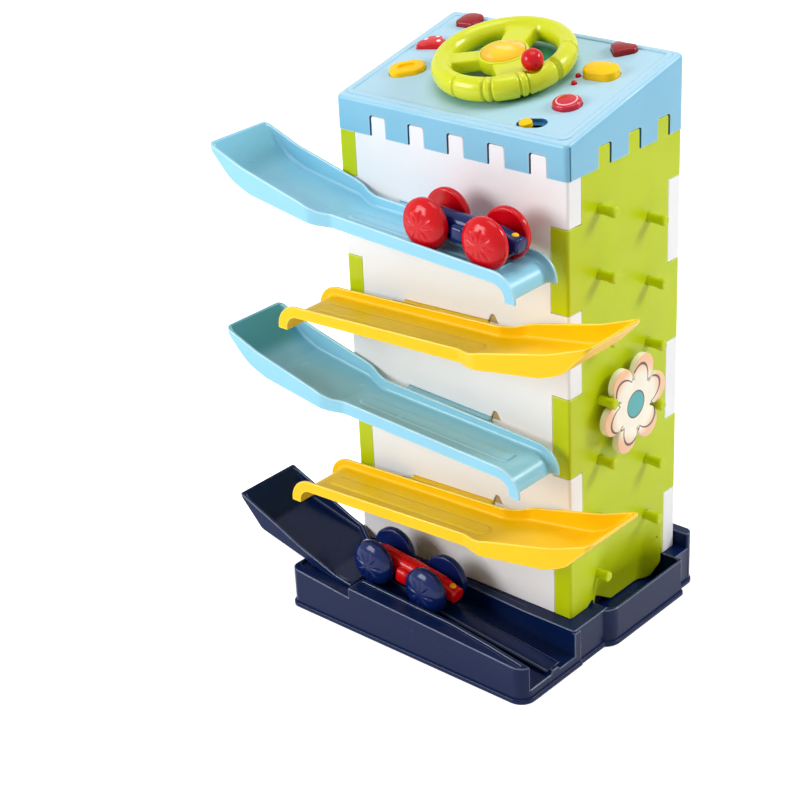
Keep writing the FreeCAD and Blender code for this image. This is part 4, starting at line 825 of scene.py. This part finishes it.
def flower_print():
    """Cream petals with peach tips, a teal middle and a thin brown line near the edge."""
    low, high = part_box("tumbler")
    middle = (Vector(low) + Vector(high)) / 2
    n = Nodes("flower_print")
    cream = plastic_body(n, CREAM, 0.35)
    parts = n.tree.nodes.new("ShaderNodeSeparateXYZ")
    offset = n.tree.nodes.new("ShaderNodeVectorMath")
    offset.operation = "SUBTRACT"
    n.put(offset.inputs[0], n.place)
    n.put(offset.inputs[1], tuple(middle))
    n.put(parts.inputs[0], offset.outputs["Vector"])
    y = parts.outputs["Y"]
    z = parts.outputs["Z"]
    radius = n.math("SQRT", n.math("ADD", n.math("MULTIPLY", y, y), n.math("MULTIPLY", z, z)))
    turn = n.math("ARCTAN2", z, y)
    turned = n.math("MULTIPLY", n.math("SUBTRACT", turn, FLOWER_TURN), 3.0)
    wave = n.math("ABSOLUTE", n.math("COSINE", turned))
    reach = n.math("ADD", n.math("MULTIPLY", wave, PETAL_WAVE), PETAL_LEAST_R)
    share = n.math("DIVIDE", radius, reach)
    front = n.ramp(parts.outputs["X"], *PRINT_X)
    tone = n.mix(n.math("MULTIPLY", front, n.ramp(radius, *TIP_R, 0.0, 0.85)), cream, linear(PEACH))
    line = n.math("MULTIPLY", n.ramp(share, 0.84, 0.86), n.ramp(share, 0.90, 0.92, 1.0, 0.0))
    tone = n.mix(n.math("MULTIPLY", front, line), tone, linear(OUTLINE))
    for edge_r, colour in ((DISC_LINE_R, OUTLINE), (DISC_TEAL_R, TEAL)):
        disc = n.ramp(radius, *edge_r, 1.0, 0.0)
        tone = n.mix(n.math("MULTIPLY", front, disc), tone, linear(colour))
    n.put(n.shader.inputs["Base Color"], tone)
    return n.material


flower_mesh = clean_copy("tumbler")
round_edges(flower_mesh, 0.0011, lambda edge: edge.is_convex, 4)
stand_in("tumbler", flower_mesh, flower_print())


# Cars

WHEEL_IN = 10.2
DOME_MORE = 0.9
SLOTS = 9
SLOT_DEPTH = 0.7
SLOT_CUT = 0.62
SLOT_IN = 2.5
SLOT_OUT = 15
SLOT_SIDE = 14
TREAD_W = 4.2
DOME_STEPS = 18
WHEEL_STEPS = 120


def car_frame(prefix):
    """Matrix of a car: origin midway between its axles, X towards its nose, Z up."""
    places = []
    for end in ("rear", "front"):
        low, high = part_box(prefix + "_" + end + "_wheels")
        places.append((Vector(low) + Vector(high)) / 2)
    ahead = (places[1] - places[0]).normalized()
    across = Vector((0, 1, 0))
    upward = ahead.cross(across)
    middle = (places[0] + places[1]) / 2
    return Matrix.Translation(middle) @ Matrix((ahead, across, upward)).transposed().to_4x4()


def wheel_pair(node, material):
    low, high = (Vector(corner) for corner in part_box(node))
    centre = (low + high) / 2
    outer_r = (high.z - low.z) / 2 / MM
    tread_end = WHEEL_IN + TREAD_W
    dome = (high.y - low.y) / 2 / MM + DOME_MORE - tread_end
    bm = bmesh.new()
    profile = [(0, WHEEL_IN), (6.5, WHEEL_IN), (7.5, WHEEL_IN + 0.6), (outer_r - 3.5, WHEEL_IN + 0.3),
               (outer_r - 1.7, WHEEL_IN), (outer_r - 0.6, WHEEL_IN + 0.5), (outer_r, WHEEL_IN + 1.6),
               (outer_r, tread_end)]
    for step in range(1, DOME_STEPS + 1):
        radius = outer_r * math.cos(math.pi / 2 * step / DOME_STEPS)
        height = tread_end + dome * (1 - (radius / outer_r) ** 2.6) ** 0.62
        profile.append((radius if step < DOME_STEPS else 0, height))
    for side in (-1, 1):
        outward = Matrix.Rotation(math.radians(-90 * side), 4, "X")
        lathe(bm, scaled(profile), Matrix.Translation(centre) @ outward, WHEEL_STEPS)
    for vert in bm.verts:
        away = vert.co - centre
        radius = math.hypot(away.x, away.z) / MM
        out = abs(away.y) / MM
        if SLOT_IN < radius < SLOT_OUT and out > SLOT_SIDE:
            turn = math.atan2(away.z, away.x)
            wave = 0.5 + 0.5 * math.cos(SLOTS * turn)
            sharpness = max(0.0, wave - SLOT_CUT) / (1 - SLOT_CUT)
            along = smooth((radius - 3) / 2.5) * smooth((14 - radius) / 3)
            vert.co.y -= math.copysign(SLOT_DEPTH * MM * smooth(sharpness) * along, away.y)
    stand_in(node, bm, material, 50)


HULL_BACK = -41.5
HULL_NOSE = 53.5
HULL_STATIONS = 44
HULL_RING = 36
NOSE_START = 26
NOSE_LENGTH = 28
TAIL_START = -24
TAIL_LENGTH = 19
SQUARENESS = 0.62
ROOF_TAPER = 0.30
ROUND_END = 0.14
SIDE_BLOCK_HALF_X = 7.2
SIDE_BLOCK_Y = (3.0, 12.6)
SIDE_BLOCK_Z = (-9.0, 5.0)
SIDE_BLOCK_R = 3.6


def hull_section(x):
    """Half width, bottom and top of a car's hull at a place along it, measured from the axles' height."""
    nose = smooth((x - NOSE_START) / NOSE_LENGTH)
    tail = smooth((TAIL_START - x) / TAIL_LENGTH)
    half_w = 7.9 - 1.2 * nose ** 2 - 1.8 * tail ** 2
    low = -7.0 + 1.4 * nose
    high = 10.6 - 4.2 * nose ** 1.4 - 3.2 * tail ** 1.5
    return half_w, low, high


def car_hull(prefix, material):
    matrix = car_frame(prefix)
    bm = bmesh.new()
    rings = []
    for step in range(HULL_STATIONS + 1):
        share = step / HULL_STATIONS
        x = HULL_BACK + (HULL_NOSE - HULL_BACK) * (0.5 - 0.5 * math.cos(math.pi * share))
        into_end = max(0.0, (abs(share - 0.5) * 2 - (1 - ROUND_END)) / ROUND_END)
        close = max(math.sqrt(max(0.0, 1 - into_end ** 2)), 0.02)
        half_w, low, high = hull_section(x)
        mid = (low + high) / 2
        ring = []
        for k in range(HULL_RING):
            angle = 2 * math.pi * k / HULL_RING
            side = math.cos(angle)
            rise = math.sin(angle)
            y = half_w * math.copysign(abs(side) ** SQUARENESS, side) * close
            z = mid + (high - low) / 2 * math.copysign(abs(rise) ** SQUARENESS, rise) * close
            if rise > 0:
                y *= 1 - ROOF_TAPER * rise ** 2
            ring.append(bm.verts.new(matrix @ (Vector((x, y, z)) * MM)))
        rings.append(ring)
    for first, second in zip(rings, rings[1:]):
        for k in range(HULL_RING):
            following = (k + 1) % HULL_RING
            bm.faces.new((first[k], first[following], second[following], second[k]))
    bm.faces.new(rings[0])
    bm.faces.new(rings[-1])
    for side in (-1, 1):
        low_y, high_y = sorted(side * y for y in SIDE_BLOCK_Y)
        low = (-SIDE_BLOCK_HALF_X, low_y, SIDE_BLOCK_Z[0])
        high = (SIDE_BLOCK_HALF_X, high_y, SIDE_BLOCK_Z[1])
        rounded_block(bm, low, high, matrix, SIDE_BLOCK_R, 5)
    stand_in(prefix + "_body", bm, material, 50)


for car, paint, rubber in (("car_a", glossy_navy, red), ("car_b", red, glossy_navy)):
    car_hull(car, paint)
    wheel_pair(car + "_front_wheels", rubber)
    wheel_pair(car + "_rear_wheels", rubber)


finish = {
    "wall_pegs": green,
    "back_door": yellow,
    "spinner_knob": red,
    "power_slider": yellow,
    "indicator_lamps": red,
    "console_floor": white,
    "battery_box": white,
    "battery_door": lid_blue,
    "circuit_board": board_green,
    "button_switches": black,
    "speaker": black,
    "steering_retainer": black,
    "battery_cells": cell_jacket,
    "car_a_chassis": navy,
    "car_a_lamps": yellow,
    "car_b_chassis": navy,
    "car_b_lamps": yellow,
}
for node, piece in nodes.items():
    if not piece.hide_render:
        piece.data.materials.clear()
        piece.data.materials.append(finish.get(node, steel))


# Camera at the photograph's viewing angle
CAMERA_PLACE = Vector((0.92828, -1.15899, 0.915515))
CAMERA_LENS = 87.23
right = Vector((0.7522, 0.6573, -0.0459)).normalized()
forward = Vector((-0.6046, 0.6608, -0.4448)).normalized()
up = right.cross(forward)
camera_data = bpy.data.cameras.new("camera")
camera_data.lens = CAMERA_LENS
camera_data.sensor_width = 36.0
camera_data.clip_start = 0.05
camera = bpy.data.objects.new("camera", camera_data)
bpy.context.scene.collection.objects.link(camera)
camera_turn = Matrix((right, up, -forward)).transposed().to_4x4()
camera.matrix_world = Matrix.Translation(CAMERA_PLACE) @ camera_turn
bpy.context.scene.camera = camera


def area_light(name, place, target, size, power):
    data = bpy.data.lights.new(name, "AREA")
    data.shape = "RECTANGLE"
    data.size, data.size_y = size
    data.energy = power
    lamp = bpy.data.objects.new(name, data)
    bpy.context.scene.collection.objects.link(lamp)
    lamp.location = place
    lamp.rotation_mode = "QUATERNION"
    lamp.rotation_quaternion = (Vector(target) - Vector(place)).to_track_quat("-Z", "Y")


LIGHT_TARGET = (0.0, -0.03, 0.25)
area_light("back_right_light", (1.35, 1.15, 1.5), LIGHT_TARGET, (0.7, 0.7), 26)
area_light("front_left_light", (-1.0, -1.7, 0.95), LIGHT_TARGET, (1.0, 0.9), 29)
area_light("top_light", (0.2, -0.1, 2.1), LIGHT_TARGET, (1.2, 1.0), 13)

WORLD_GLOW = 0.32
FLOOR_GLOW = 0.62


def seen_directly(tree):
    """1 for camera, glossy and transmission rays."""
    path = tree.nodes.new("ShaderNodeLightPath")
    seen = path.outputs["Is Camera Ray"]
    for kind in ("Is Glossy Ray", "Is Transmission Ray"):
        either = tree.nodes.new("ShaderNodeMath")
        either.operation = "MAXIMUM"
        tree.links.new(seen, either.inputs[0])
        tree.links.new(path.outputs[kind], either.inputs[1])
        seen = either.outputs["Value"]
    return seen


def make_world():
    world = bpy.data.worlds.new("studio")
    bpy.context.scene.world = world
    world.use_nodes = True
    tree = world.node_tree
    background = tree.nodes["Background"]
    background.inputs["Color"].default_value = (1.0, 1.0, 1.0, 1.0)
    strength = tree.nodes.new("ShaderNodeMapRange")
    tree.links.new(seen_directly(tree), strength.inputs["Value"])
    strength.inputs["To Min"].default_value = WORLD_GLOW
    strength.inputs["To Max"].default_value = 1.0
    tree.links.new(strength.outputs["Result"], background.inputs["Strength"])


def make_floor():
    bm = bmesh.new()
    bmesh.ops.create_circle(bm, cap_ends=True, radius=3.0, segments=96)
    mesh = bpy.data.meshes.new("floor")
    bm.to_mesh(mesh)
    bm.free()
    floor = bpy.data.objects.new("floor", mesh)
    bpy.context.scene.collection.objects.link(floor)
    floor.location.z = -0.0002
    n = Nodes("floor_paint")
    tone = n.mix(n.ramp(n.noise(3.0), 0.3, 0.7), (0.90, 0.90, 0.90, 1), (0.92, 0.92, 0.92, 1))
    n.put(n.shader.inputs["Base Color"], tone)
    n.shader.inputs["Roughness"].default_value = 0.8
    n.shader.inputs["Specular IOR Level"].default_value = 0.1
    n.shader.inputs["Emission Color"].default_value = (1.0, 1.0, 1.0, 1.0)
    glow = n.math("MULTIPLY", seen_directly(n.tree), FLOOR_GLOW)
    n.put(n.shader.inputs["Emission Strength"], glow)
    mesh.materials.append(n.material)


make_world()
make_floor()
bpy.context.scene.view_settings.view_transform = "Standard"
